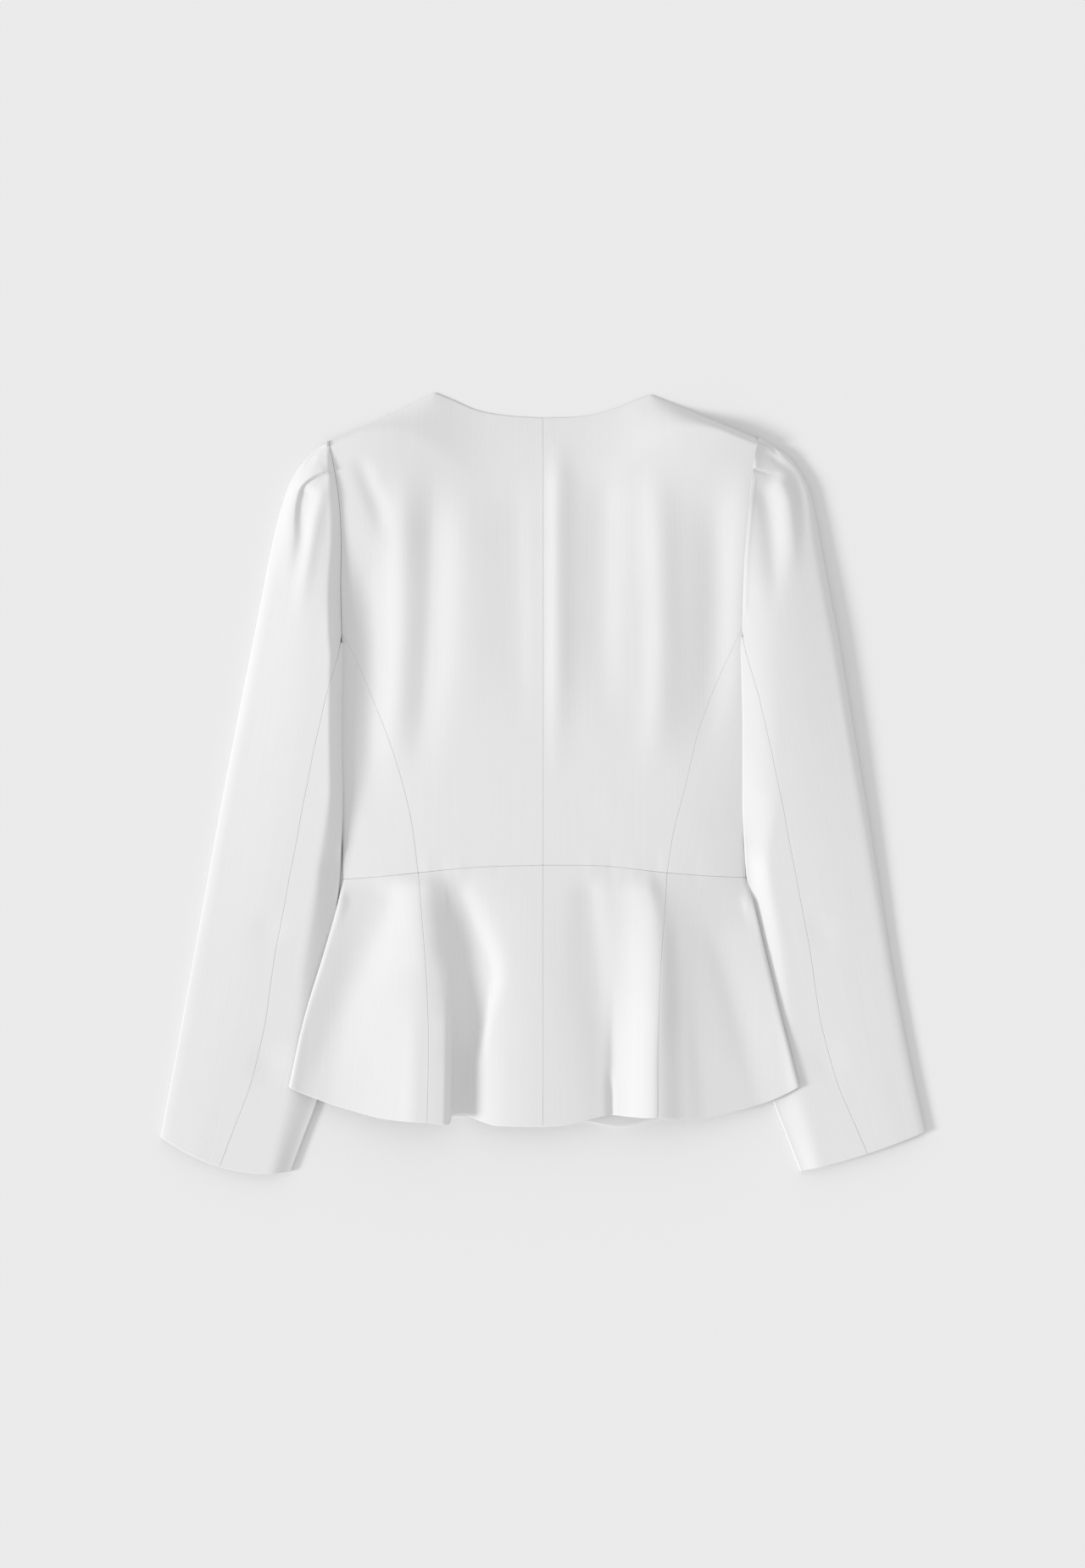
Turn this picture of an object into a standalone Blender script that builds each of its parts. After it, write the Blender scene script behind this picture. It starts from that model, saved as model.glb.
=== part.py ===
"""Peplum jacket laid flat, back side up: fitted bodice, gathered sleeve heads, flared peplum.

The cloth is a thin wall. The front pieces lie flat on the table, the back pieces lie over them
with a shallow hollow between, and each sleeve is a soft tube of a top and an under sleeve.
Sizes are in millimetres; +Y runs to the neck, +Z up, the origin lies under the middle.
"""
import bpy
import numpy as np

MM = 0.001

# Cloth and how the layers lie
WALL = 1.6            # cloth with the seam allowances pressed behind it
SEAM = 0.19           # how far each piece stops short of its seam line
SLEEVE_SEAM = 0.42    # the same on the sleeves, where the two walls lean together inside the seam
CLEAR = 0.3           # air between two layers that lie on each other
LAYERS = 2 * WALL + CLEAR
FOLD = 4.2            # height of an edge where a tube of cloth is folded flat
BODY_FILL = 7.0       # how far the back stands above a bodice pressed flat
WAIST_DIP = 1.2       # how much less it stands up at the waist
SHOULDER_ROLL = 13.0  # width of the rounded edge where the back turns over the shoulder
SLEEVE_ON_BODY = LAYERS + 2 * CLEAR

# Where one form fades into another, as (start, run) of a smooth step down the jacket or outwards
WAIST_DIP_STEP = (40.0, -110.0)      # y: the back sinks towards the waist
FOLDS_END_STEP = (-84.0, 70.0)       # y: the bodice's folds die out at the waist
PRESS_OUT_STEP = (146.0, 21.0)       # x: the sleeve presses the side of the bodice flat
PRESS_DOWN_STEP = (144.0, -26.0)     # y: the same, below the armhole
LOW_UPPER_STEP = (138.0, -18.0)      # y: the sleeve climbs onto the bodice below the armhole
LOW_LOWER_STEP = (-78.0, 26.0)       # y: it has come off the bodice at the waist
LOW_OUT_STEP = (40.0, -24.0)         # x past the side seam: it comes down to the table
LIFT_DOWN_STEP = (-83.5, -22.0)      # y: the peplum's side climbs over the sleeve below the waist
LIFT_OUT_STEP = (-20.0, 19.0)        # x past the sleeve's inner edge: the same, outwards
TUBE_STEP = (140.0, -100.0)          # y: the inner edge turns from a sewn armhole to a soft fold
SECTION_SLANT = 14.0                 # how much lower a section lies at its inner edge

WHITE = (0.80, 0.80, 0.79, 1.0)

# Seam and edge lines seen from above, as (distance from the centre back, height up the back)
LINES = {
    "left": {
        "neck": [(0, 314.3), (30, 316.1), (59, 321.2), (80, 330.2), (94.2, 335.8)],
        "shoulder": [(94.2, 335.8), (139.4, 313.9), (185, 294.4)],
        "armhole": [(185, 294.4), (182.5, 282.5), (177.1, 253.3), (174, 207.3), (174.6, 171.6), (173.8, 127)],
        "princess": [(173.8, 127), (165, 113.2), (146.7, 71.5), (128.5, 24.1), (114.6, -27), (107.5, -77.4)],
        "waist": [(0, -70.8), (62.3, -73), (107.5, -77.4), (142.4, -81), (173, -83.2)],
        "peplum_seam": [(107.5, -77.4), (104.5, -110), (99.3, -180), (98.2, -215), (99.3, -291.1)],
        "peplum_side": [(173, -83.2), (177.4, -104.4), (186.4, -136.5), (206.2, -203.7), (219, -261.3)],
        "sleeve_head": [(185.6, 294.8), (192, 291.3), (202.2, 282.5), (215.4, 265), (225.6, 238.7),
                        (234.3, 203.7), (242.4, 162.8), (249.5, 127)],
        "sleeve_outer": [(249.5, 127), (276.7, -12.4), (297.8, -129.2), (319, -246), (330, -304.4)],
        "sleeve_inner": [(173.8, 127), (173.3, 100), (174.5, 36.5), (176.7, -23.4), (181, -92),
                         (187, -160), (196, -273), (208, -318), (220, -334.5)],
    },
    "right": {
        "neck": [(0, 314.3), (35.8, 316.1), (65, 323.4), (80, 329.5), (92.7, 334.2)],
        "shoulder": [(92.7, 334.2), (138, 316.1), (184.6, 297.2)],
        "armhole": [(184.6, 297.2), (180.8, 276.7), (176.9, 236.9), (172.9, 192.7), (171.2, 150), (170.8, 132)],
        "princess": [(170.8, 132), (152.6, 93.4), (134.3, 46), (121.9, -5.1), (112.4, -41.6), (106.6, -77.4)],
        "waist": [(0, -70.8), (51.4, -71.5), (106.6, -77.4), (140, -80), (175, -81.8)],
        "peplum_seam": [(106.6, -77.4), (105.1, -103), (100.5, -164), (99, -215), (98.6, -286.5)],
        "peplum_side": [(175, -81.8), (180.5, -100), (190, -140), (205.5, -203.7), (220.5, -261.3)],
        "sleeve_head": [(185.2, 298), (197.1, 290.8), (210.5, 282.1), (219.5, 271), (228, 256),
                        (234.5, 230), (240.6, 197.3), (254, 127)],
        "sleeve_outer": [(254, 127), (283.2, -48), (304.4, -178.9), (321, -262), (329.5, -300)],
        "sleeve_inner": [(170.8, 132), (170.3, 105), (171.8, 60), (174.5, -10), (179.5, -85),
                         (186, -150), (198, -274), (208, -314), (222, -334)],
    },
}
SIDE_SEAM = [(173.6, -83), (175, -40), (181, 0), (188, 40), (195, 80)]   # under the sleeve
UNDERARM = [(195, 80), (184, 92), (174, 107)]                            # joins the armhole line
NECK_OPEN = (60, 400)                                                    # no shoulder edge inside this x
FRONT_NECK = [(0, 232), (40, 240), (72, 275), (88, 318)]                 # lower than the back neck

# How a sleeve fills out on its way down: columns by name, a row for each height of the outer edge
SLEEVE_COLUMNS = ("y", "crown", "outer_roll", "inner_roll", "back_seam", "front_seam", "bow")
SLEEVE_FILL = [
    (298, 0.5, 4, 4, 1.0, 1.0, 0),
    (283, 8, 10, 12, 1.0, 1.0, 0),
    (265, 13, 20, 18, 1.0, 1.0, 0),
    (239, 17, 30, 22, 1.0, 1.0, 0),
    (204, 19, 38, 24, 1.0, 1.0, 0),
    (163, 19, 46, 26, 1.0, 1.0, 0),
    (127, 18, 52, 28, 1.0, 1.0, 0),
    (75, 17, 60, 30, 0.84, 0.88, 0),
    (31, 15.5, 64, 32, 0.745, 0.84, 0),
    (-12, 14, 66, 36, 0.675, 0.82, 0),
    (-71, 12, 64, 40, 0.62, 0.80, 0),
    (-129, 10, 60, 44, 0.595, 0.80, 0),
    (-188, 8, 54, 46, 0.57, 0.80, 2),
    (-246, 7, 46, 44, 0.525, 0.80, 5),
    (-304, 6.5, 34, 30, 0.46, 0.80, 10),
]
CUFF_BOW = {"left": 1.0, "right": 0.45}    # how far the open end bows out, as a share of the bow
EDGE_ROLL = 11.0      # width of the tight roll at a sleeve's outer edge
EDGE_SHARE = 0.35     # share of the sleeve's fullness gained in that roll, the rest is a slow rise

# Soft folds of the back and sleeves: from (x1, y1) to (x2, y2), half width, height (a trough if below 0)
BACK_FOLDS = [
    (-114, 290, -117, 0, 14, 3.6),
    (-150, 290, -140, 150, 12, -1.6),
    (-94, 285, -98, 20, 12, -1.6),
    (-38, 270, -40, 30, 28, 2.4),
    (17, 300, 14, 10, 11, 2.4),
    (62, 290, 66, 20, 18, -2.4),
    (106, 290, 108, 0, 16, 3.8),
    (150, 270, 146, 60, 16, -2.2),
]
SLEEVE_FOLDS = {
    "left": [(-187, 262, -203, 160, 9, 3.0), (-214, 250, -226, 150, 8, -2.6),
             (-250, -118, -226, -134, 8, -1.6), (-252, -240, -222, -252, 10, -2.2)],
    "right": [(212, 262, 222, 170, 9, 2.8), (198, 268, 206, 185, 7, -2.6),
              (250, -120, 228, -138, 8, -1.4), (255, -236, 226, -250, 10, -1.6)],
}
# Pleats in the sleeve head: from the armhole to the outer edge, how deep the cloth drops below
PLEATS = {
    "left": [(-186, 290, -214, 262, 2.2), (-181, 268, -212, 246, 4.0)],
    "right": [(186, 293, 206, 284, 2.0), (180, 270, 208, 264, 4.0)],
}
PLEAT_EDGE = 4.0      # width of the step down at a pleat's edge
PLEAT_REACH = 34.0    # how far below its edge a pleat fades out

# The hem of the back peplum: x, y and height of the cloth's upper face, from side to side
HEM = {
    "side_left": [(-219, -261.3, 12.0), (-207, -267.3, 9.6), (-194.4, -272.1, 8.2), (-176, -278.4, 9.0),
                  (-158, -283.4, 12.6), (-142.4, -287.4, 16.4), (-125, -289.6, 19.8), (-111, -290.6, 21.4),
                  (-99.3, -291.1, 21.6)],
    "back_left": [(-99.3, -291.1, 21.6), (-90, -292.2, 20.8), (-83.5, -292.8, 19.2), (-80, -292.4, 16.4),
                  (-79, -289.5, 12.0), (-78.4, -286.4, 8.0), (-75, -284.8, 4.8), (-68.6, -284.7, 3.7),
                  (-61, -288.4, 5.0), (-52, -291.6, 8.6), (-43.8, -294.2, 12.2), (-30, -295.0, 16.0),
                  (-15, -295.3, 18.6), (0, -295.4, 19.2)],
    "back_right": [(0, -295.4, 19.2), (15, -294.6, 17.6), (29.9, -292, 15.4), (44, -288, 13.0),
                   (55, -286.2, 11.4), (59, -285.8, 10.6), (63, -285.9, 11.6), (71, -286.6, 14.2),
                   (80, -287, 17.6), (89, -287.3, 20.8), (95, -287, 22.2), (98.6, -286.5, 22.0)],
    "side_right": [(98.6, -286.5, 22.0), (101.4, -287.2, 21.4), (104, -287.6, 19.0), (110, -288, 14.8),
                   (120, -288.4, 12.4), (134.3, -288.4, 11.4), (150, -286.2, 11.2), (165, -282.6, 9.8),
                   (180, -278.6, 8.4), (195.6, -273.6, 8.0), (209, -267.6, 10.0), (220.5, -261.3, 12.0)],
}
FRONT_HEM = {
    "left": [(0, -291), (45, -289), (100, -287), (150, -282), (219, -259.5)],
    "right": [(0, -291), (38, -292.5), (66, -296.8), (94, -291), (150, -282), (220.5, -259.5)],
}
FLUTE_GROWTH = 0.85   # below 1 the flutes open early below the waist

# Rows and columns of the grids; a seam has the same count in both pieces that meet there
ARMHOLE_ROWS = 12
PRINCESS_ROWS = 10
TUBE_ROWS = 14
PEPLUM_ROWS = 9
BACK_COLUMNS = 12
SIDE_COLUMNS = 6
FRONT_COLUMNS = 8
UNDER_SLEEVE_TIP = 0.45    # where the under sleeve starts, in rows below the armhole


def sign_of(side):
    return -1.0 if side == "left" else 1.0


def line(side, name):
    """A named line in its true place, left lines having negative x."""
    return [(sign_of(side) * x, y) for x, y in LINES[side][name]]


def mirrored(side, points):
    return [(sign_of(side) * x, y) for x, y in points]


def smooth_step(value):
    t = np.clip(value, 0.0, 1.0)
    return t * t * (3.0 - 2.0 * t)


def step(value, start_and_run):
    """0 before the start, 1 after the run; a run below 0 counts the other way."""
    start, run = start_and_run
    return smooth_step((value - start) / run)


def rounded(value):
    """Rises from 0 to 1 like the side of a rolled edge."""
    t = np.clip(value, 0.0, 1.0)
    return np.sqrt(1.0 - (1.0 - t) ** 2)


def curve_through(points, fine=60):
    """A fine smooth curve through a few points (cubic, through each point)."""
    p = np.array(points, float)
    chord = np.concatenate([[0.0], np.cumsum(np.linalg.norm(np.diff(p, axis=0), axis=1))])
    if len(p) == 2:
        slope = np.repeat((p[1:] - p[:1]) / chord[-1], 2, axis=0)
    else:
        slope = np.gradient(p, chord, axis=0)
    pieces = []
    for k in range(len(p) - 1):
        s = np.linspace(0.0, 1.0, fine, endpoint=False)[:, None]
        span = chord[k + 1] - chord[k]
        pieces.append((2 * s**3 - 3 * s**2 + 1) * p[k] + (s**3 - 2 * s**2 + s) * span * slope[k]
                      + (3 * s**2 - 2 * s**3) * p[k + 1] + (s**3 - s**2) * span * slope[k + 1])
    return np.concatenate(pieces + [p[-1:]])


def place_along(curve, shares):
    """Points at the given shares of a curve's length."""
    length = np.concatenate([[0.0], np.cumsum(np.linalg.norm(np.diff(curve, axis=0), axis=1))])
    at = np.asarray(shares) * length[-1]
    return np.stack([np.interp(at, length, curve[:, k]) for k in range(curve.shape[1])], axis=1)


def sampled(points, count):
    return place_along(curve_through(points), np.linspace(0.0, 1.0, count + 1))


def joined(*runs):
    """Several sampled lines end to end, as one edge of a panel."""
    return np.concatenate([runs[0]] + [run[1:] for run in runs[1:]])


def patch(bottom, top, left, right):
    """A grid of plan points between four edges, rows from bottom to top (a Coons patch)."""
    u = np.linspace(0.0, 1.0, len(bottom))[None, :, None]
    v = np.linspace(0.0, 1.0, len(left))[:, None, None]
    across = (1 - u) * left[:, None] + u * right[:, None]
    along = (1 - v) * bottom[None] + v * top[None]
    corners = ((1 - v) * ((1 - u) * bottom[0] + u * bottom[-1]) + v * ((1 - u) * top[0] + u * top[-1]))
    return across + along - corners


def fold_height(x, y, folds):
    """Sum of soft ridges and troughs, each fading out at its ends."""
    total = np.zeros_like(x)
    for x1, y1, x2, y2, half, height in folds:
        dx, dy = x2 - x1, y2 - y1
        length = np.hypot(dx, dy)
        along = ((x - x1) * dx + (y - y1) * dy) / length**2
        away = ((x - x1) * dy - (y - y1) * dx) / length
        ends = smooth_step((along + 0.15) / 0.4) * smooth_step((1.15 - along) / 0.4)
        total += height * ends * np.exp(-(away / half) ** 2)
    return total


def sleeve_value(name, outer_y):
    """One column of the sleeve's table, read at a height of its outer edge."""
    table = np.array(SLEEVE_FILL, float)[::-1]
    return np.interp(outer_y, table[:, 0], table[:, SLEEVE_COLUMNS.index(name)])


def inner_fold_x(side, y):
    """Distance from the centre to a sleeve's inner folded edge, at a height on the page."""
    points = curve_through(LINES[side]["sleeve_inner"])[::-1]
    return np.interp(y, points[:, 1], points[:, 0])


def sleeve_rise(side, x, y):
    """Height of a sleeve's upper face above its folded edge, near that edge."""
    away = np.abs(x) - inner_fold_x(side, y)
    crown = sleeve_value("crown", y + SECTION_SLANT)
    roll = sleeve_value("inner_roll", y + SECTION_SLANT)
    return crown * smooth_step(away / roll)


def front_lift(x, y):
    """Underside of the front pieces: flat on the table, lifted where the peplum lies on a sleeve."""
    lift = np.zeros_like(x)
    for side in ("left", "right"):
        inner = inner_fold_x(side, y)
        climb = step(np.abs(x) - inner, LIFT_OUT_STEP) * (FOLD + 2 * CLEAR)
        over = (climb + sleeve_rise(side, x, y)) * step(y, LIFT_DOWN_STEP)
        lift = np.where(np.sign(x) == sign_of(side), over, lift)
    return lift


def shoulder_distance(x, y):
    """How far a point of the back lies below the shoulder edge; under the open neck it is far."""
    distance = np.zeros_like(x)
    for side in ("left", "right"):
        edge = np.array([NECK_OPEN] + LINES[side]["shoulder"])
        below = np.interp(np.abs(x), edge[:, 0], edge[:, 1]) - y
        distance = np.where(np.sign(x) == sign_of(side), below, distance)
    return np.where(x == 0.0, NECK_OPEN[1] - y, distance)


def back_top(x, y):
    """Upper face of the bodice's back: filled out, rolled at the shoulders, pressed under the sleeves."""
    roll = rounded(shoulder_distance(x, y) / SHOULDER_ROLL)
    side_press = step(np.abs(x), PRESS_OUT_STEP) * step(y, PRESS_DOWN_STEP)
    fill = BODY_FILL - WAIST_DIP * step(y, WAIST_DIP_STEP)
    folds = fold_height(x, y, BACK_FOLDS) * step(y, FOLDS_END_STEP)
    return LAYERS + (fill + folds) * roll * (1.0 - side_press)


def sleeve_low(side, x, y):
    """Underside of a sleeve: on the table, or on the edge of the bodice where it lies over it."""
    seam = np.interp(y, [p[1] for p in SIDE_SEAM], [p[0] for p in SIDE_SEAM])
    over = step(np.abs(x) - seam, LOW_OUT_STEP)
    return SLEEVE_ON_BODY * over * step(y, LOW_UPPER_STEP) * step(y, LOW_LOWER_STEP)


def pleat_drop(side, x, y):
    """The cloth steps down below each pleat's edge and comes back up further down the sleeve."""
    drop = np.zeros_like(x)
    for x1, y1, x2, y2, depth in PLEATS[side]:
        edge = y1 + (x - x1) * (y2 - y1) / (x2 - x1)
        below = edge - y
        drop += depth * smooth_step(below / PLEAT_EDGE + 0.5) * smooth_step(1.0 - below / PLEAT_REACH)
    return drop


def sleeve_sections(side, head_rows, tube_rows):
    """Outer and inner edge points of each section down a sleeve, head first."""
    outer = joined(sampled(line(side, "sleeve_head"), head_rows), sampled(line(side, "sleeve_outer"), tube_rows))
    inner = joined(sampled(line(side, "armhole"), head_rows), sampled(line(side, "sleeve_inner"), tube_rows))
    return outer, inner


def sleeve_point(side, outer, inner, share, upper, in_head):
    """A point of a section: share 0 at the outer edge, 1 at the inner edge, upper or lower face."""
    read = lambda name: sleeve_value(name, outer[1])
    width = np.hypot(*(inner - outer))
    x, y = outer + (inner - outer) * share
    y -= read("bow") * CUFF_BOW[side] * 4.0 * share * (1.0 - share)
    x, y = np.array(x), np.array(y)
    low = float(sleeve_low(side, x, y))
    if not upper:
        return (x, y, low)
    outer_rise = EDGE_SHARE * rounded(share * width / EDGE_ROLL)
    outer_rise += (1.0 - EDGE_SHARE) * np.sin(0.5 * np.pi * min(share * width / read("outer_roll"), 1.0))
    reach = (1.0 - share) * width / read("inner_roll")
    soft = step(outer[1], TUBE_STEP)
    inner_rise = (1.0 - soft) * rounded(reach) + soft * smooth_step(reach)
    inner_z = float(back_top(*inner)) if in_head else low + FOLD
    base = FOLD * (1.0 - share) + inner_z * share
    crown = read("crown") * outer_rise * inner_rise
    shape = (fold_height(x, y, SLEEVE_FOLDS[side]) - pleat_drop(side, x, y)) * outer_rise * inner_rise
    return (x, y, max(base + crown + shape, base))


def grid_object(name, rows, collection, thickness_offset, material):
    """One piece of cloth from a grid of points: an open surface given its thickness by Solidify."""
    rows = np.asarray(rows, float) * MM
    row_count, column_count = rows.shape[:2]
    faces = []
    for r in range(row_count - 1):
        for c in range(column_count - 1):
            a = r * column_count + c
            faces.append((a, a + 1, a + 1 + column_count, a + column_count))
    mesh = bpy.data.meshes.new(name)
    mesh.from_pydata(rows.reshape(-1, 3).tolist(), [], faces)
    mesh.update()
    mesh.materials.append(material)
    piece = bpy.data.objects.new(name, mesh)
    collection.objects.link(piece)
    wall = piece.modifiers.new("wall", "SOLIDIFY")
    wall.thickness = WALL * MM
    wall.offset = thickness_offset
    return piece


def drawn_in(grid, sides):
    """Stop a grid short of its seam lines, so that pieces lie a hair apart."""
    grid = np.array(grid, float)
    pairs = {"bottom": ((0, slice(None)), (1, slice(None))), "top": ((-1, slice(None)), (-2, slice(None))),
             "left": ((slice(None), 0), (slice(None), 1)), "right": ((slice(None), -1), (slice(None), -2))}
    for name in sides:
        edge, inside = pairs[name]
        step = grid[inside] - grid[edge]
        length = np.linalg.norm(step, axis=-1, keepdims=True)
        grid[edge] += step / length * SEAM
    return grid


ALL_SIDES = ("bottom", "top", "left", "right")


def with_height(plan, height):
    x, y = plan[..., 0], plan[..., 1]
    return np.dstack([x, y, height(x, y)])


def facing_up(side, grid):
    """Rows run the same way on both sides of the jacket, so a left grid is turned over."""
    return grid[:, ::-1] if side == "left" else grid


def side_seam(side):
    """The bodice's side seam, up from the waist, hidden under the sleeve."""
    return [line(side, "waist")[-1]] + mirrored(side, SIDE_SEAM)[1:]


def underarm(side):
    """The lower end of the armhole, from the side seam to where it comes into view."""
    return mirrored(side, UNDERARM) + [line(side, "armhole")[-1]]


def make_back(side, kit):
    armhole = sampled(line(side, "armhole"), ARMHOLE_ROWS)[::-1]
    outer = joined(sampled(line(side, "princess"), PRINCESS_ROWS)[::-1], armhole)
    rows = len(outer) - 1
    half = BACK_COLUMNS // 2
    top = joined(sampled(line(side, "neck"), half), sampled(line(side, "shoulder"), half))
    waist = curve_through(line(side, "waist"))
    bottom = place_along(waist, np.linspace(0.0, waist_share(side), BACK_COLUMNS + 1))
    centre = np.stack([np.zeros(rows + 1), np.linspace(bottom[0][1], top[0][1], rows + 1)], axis=1)
    plan = drawn_in(patch(bottom, top, centre, outer), ALL_SIDES)
    kit("back_" + side, facing_up(side, with_height(plan, back_top)), -1.0)


def waist_share(side):
    """Where the princess seam meets the waist, as a share of the waist line's length."""
    waist = curve_through(LINES[side]["waist"])
    length = np.concatenate([[0.0], np.cumsum(np.linalg.norm(np.diff(waist, axis=0), axis=1))])
    return float(np.interp(LINES[side]["princess"][-1][0], waist[:, 0], length)) / length[-1]


def make_side_back(side, kit):
    princess = sampled(line(side, "princess"), PRINCESS_ROWS)[::-1]
    outer = sampled(side_seam(side), PRINCESS_ROWS)
    top = sampled(underarm(side), SIDE_COLUMNS)[::-1]
    shares = np.linspace(waist_share(side), 1.0, SIDE_COLUMNS + 1)
    bottom = place_along(curve_through(line(side, "waist")), shares)
    plan = drawn_in(patch(bottom, top, princess, outer), ALL_SIDES)
    kit("side_back_" + side, facing_up(side, with_height(plan, back_top)), -1.0)


def make_front(side, kit):
    """A front lies under the back from shoulder to waist, its centre edge along the middle."""
    armhole = sampled(line(side, "armhole"), ARMHOLE_ROWS)[::-1]
    outer = joined(sampled(side_seam(side), 5), sampled(underarm(side), 3), armhole)
    neck = mirrored(side, FRONT_NECK) + [line(side, "shoulder")[0]]
    top = joined(sampled(neck, FRONT_COLUMNS - 3), sampled(line(side, "shoulder"), 3))
    bottom = sampled(line(side, "waist"), FRONT_COLUMNS)
    centre = np.stack([np.zeros(len(outer)), np.linspace(bottom[0][1], top[0][1], len(outer))], axis=1)
    plan = drawn_in(patch(bottom, top, centre, outer), ALL_SIDES)
    kit("front_" + side, facing_up(side, with_height(plan, front_lift)), 1.0)


def peplum_grid(side, name, waist_from, waist_to, edges):
    """Ribs of a peplum piece, from the waist seam down to the hem's own table of heights."""
    hem = curve_through(HEM[name], 2)
    if side == "left":
        hem = hem[::-1]
    run = np.maximum.accumulate(np.abs(hem[:, 0] - hem[0, 0]))
    waist = curve_through(line(side, "waist"))
    shares = waist_from + (waist_to - waist_from) * run / run[-1]
    top = place_along(waist, shares)
    rows = len(edges[0]) - 1
    plan = patch(hem[:, :2], top, edges[0], edges[1])
    plan = drawn_in(plan, ("left", "right", "top"))
    down = 1.0 - np.linspace(0.0, 1.0, rows + 1)[:, None]
    growth = down ** FLUTE_GROWTH
    x, y = plan[..., 0], plan[..., 1]
    waist_z = back_top(x[-1], y[-1])[None]
    least = front_lift(x, y) + LAYERS + 2.5 * CLEAR
    above = waist_z * (1.0 - growth) + hem[None, :, 2] * growth - least
    return np.dstack([x, y, least + 0.5 * (above + np.sqrt(above**2 + 0.6))])


def make_peplum_back(side, kit):
    seam = sampled(line(side, "peplum_seam"), PEPLUM_ROWS)[::-1]
    hem_y = HEM["back_" + side][-1 if side == "left" else 0][1]
    centre = sampled([(0.0, hem_y), (0.0, line(side, "waist")[0][1])], PEPLUM_ROWS)
    grid = peplum_grid(side, "back_" + side, 0.0, waist_share(side), (centre, seam))
    kit("peplum_back_" + side, facing_up(side, grid), -1.0)


def make_peplum_side_back(side, kit):
    seam = sampled(line(side, "peplum_seam"), PEPLUM_ROWS)[::-1]
    edge = sampled(line(side, "peplum_side"), PEPLUM_ROWS)[::-1]
    grid = peplum_grid(side, "side_" + side, waist_share(side), 1.0, (seam, edge))
    kit("peplum_side_back_" + side, facing_up(side, grid), -1.0)


def make_peplum_front(side, kit):
    edge = sampled(line(side, "peplum_side"), PEPLUM_ROWS)[::-1]
    edge[0] = mirrored(side, FRONT_HEM[side])[-1]
    hem = sampled(mirrored(side, FRONT_HEM[side]), 14)
    waist = sampled(line(side, "waist"), 14)
    centre = sampled([hem[0], waist[0]], PEPLUM_ROWS)
    plan = drawn_in(patch(hem, waist, centre, edge), ("left", "right", "top"))
    kit("peplum_front_" + side, facing_up(side, with_height(plan, front_lift)), 1.0)


UPPER_SHARES = (1.0, 0.86, 0.7, 0.54, 0.38, 0.24, 0.13, 0.05, 0.012)
LOWER_SHARES = (0.012, 0.2, 0.45, 0.7, 1.0)


def make_top_sleeve(side, kit):
    """From the back seam over the outer fold to the front seam, open along the armhole above."""
    outer, inner = sleeve_sections(side, ARMHOLE_ROWS, TUBE_ROWS)
    rows = []
    for k in range(len(outer)):
        in_head = k <= ARMHOLE_ROWS
        width = np.hypot(*(inner[k] - outer[k]))
        back = sleeve_value("back_seam", outer[k][1]) - SLEEVE_SEAM / width
        front = sleeve_value("front_seam", outer[k][1]) - SLEEVE_SEAM / width
        row = [sleeve_point(side, outer[k], inner[k], back * s, True, in_head) for s in UPPER_SHARES]
        edge = sleeve_point(side, outer[k], inner[k], 0.0, False, in_head)
        row.append((edge[0], edge[1], edge[2] + 0.5 * FOLD))
        row += [sleeve_point(side, outer[k], inner[k], front * s, False, in_head) for s in LOWER_SHARES]
        rows.append(row)
    grid = np.array(rows, float)
    if side == "right":
        grid = grid[:, ::-1]
    kit("top_sleeve_" + side, grid, -1.0)


def make_under_sleeve(side, kit):
    """From the back seam round the inner fold to the front seam, below the underarm."""
    outer_edge, inner_edge = sleeve_sections(side, ARMHOLE_ROWS, TUBE_ROWS)
    stations = np.concatenate([[ARMHOLE_ROWS + UNDER_SLEEVE_TIP], np.arange(ARMHOLE_ROWS + 1, len(outer_edge))])
    count = np.arange(len(outer_edge))
    rows = []
    for station in stations:
        outer = np.array([np.interp(station, count, outer_edge[:, axis]) for axis in (0, 1)])
        inner = np.array([np.interp(station, count, inner_edge[:, axis]) for axis in (0, 1)])
        width = np.hypot(*(inner - outer))
        back = sleeve_value("back_seam", outer[1]) + SLEEVE_SEAM / width
        front = sleeve_value("front_seam", outer[1]) + SLEEVE_SEAM / width
        brim = 1.0 - min(1.0 / width, 0.3 * (1.0 - max(back, front)))
        point = lambda share, upper: sleeve_point(side, outer, inner, share, upper, False)
        row = [point(s, False) for s in np.linspace(front, brim, 4)]
        edge = point(1.0, False)
        row.append((edge[0], edge[1], edge[2] + 0.5 * FOLD))
        row += [point(s, True) for s in np.linspace(brim, back, 6)]
        rows.append(row)
    grid = np.array(rows, float)
    if side == "right":
        grid = grid[:, ::-1]
    kit("under_sleeve_" + side, grid, -1.0)


def cloth_material(name):
    material = bpy.data.materials.new(name)
    material.use_nodes = True
    shader = material.node_tree.nodes["Principled BSDF"]
    shader.inputs["Base Color"].default_value = WHITE
    shader.inputs["Roughness"].default_value = 0.85
    shader.inputs["Metallic"].default_value = 0.0
    material.diffuse_color = WHITE
    return material


def build():
    for item in list(bpy.data.objects):
        bpy.data.objects.remove(item, do_unlink=True)
    collection = bpy.data.collections.new("peplum_jacket")
    bpy.context.scene.collection.children.link(collection)

    def kit(name, grid, thickness_offset):
        grid_object(name, grid, collection, thickness_offset, cloth_material(name + "_cloth"))

    for side in ("left", "right"):
        make_back(side, kit)
        make_side_back(side, kit)
        make_front(side, kit)
        make_peplum_back(side, kit)
        make_peplum_side_back(side, kit)
        make_peplum_front(side, kit)
        make_top_sleeve(side, kit)
        make_under_sleeve(side, kit)


build()
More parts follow.
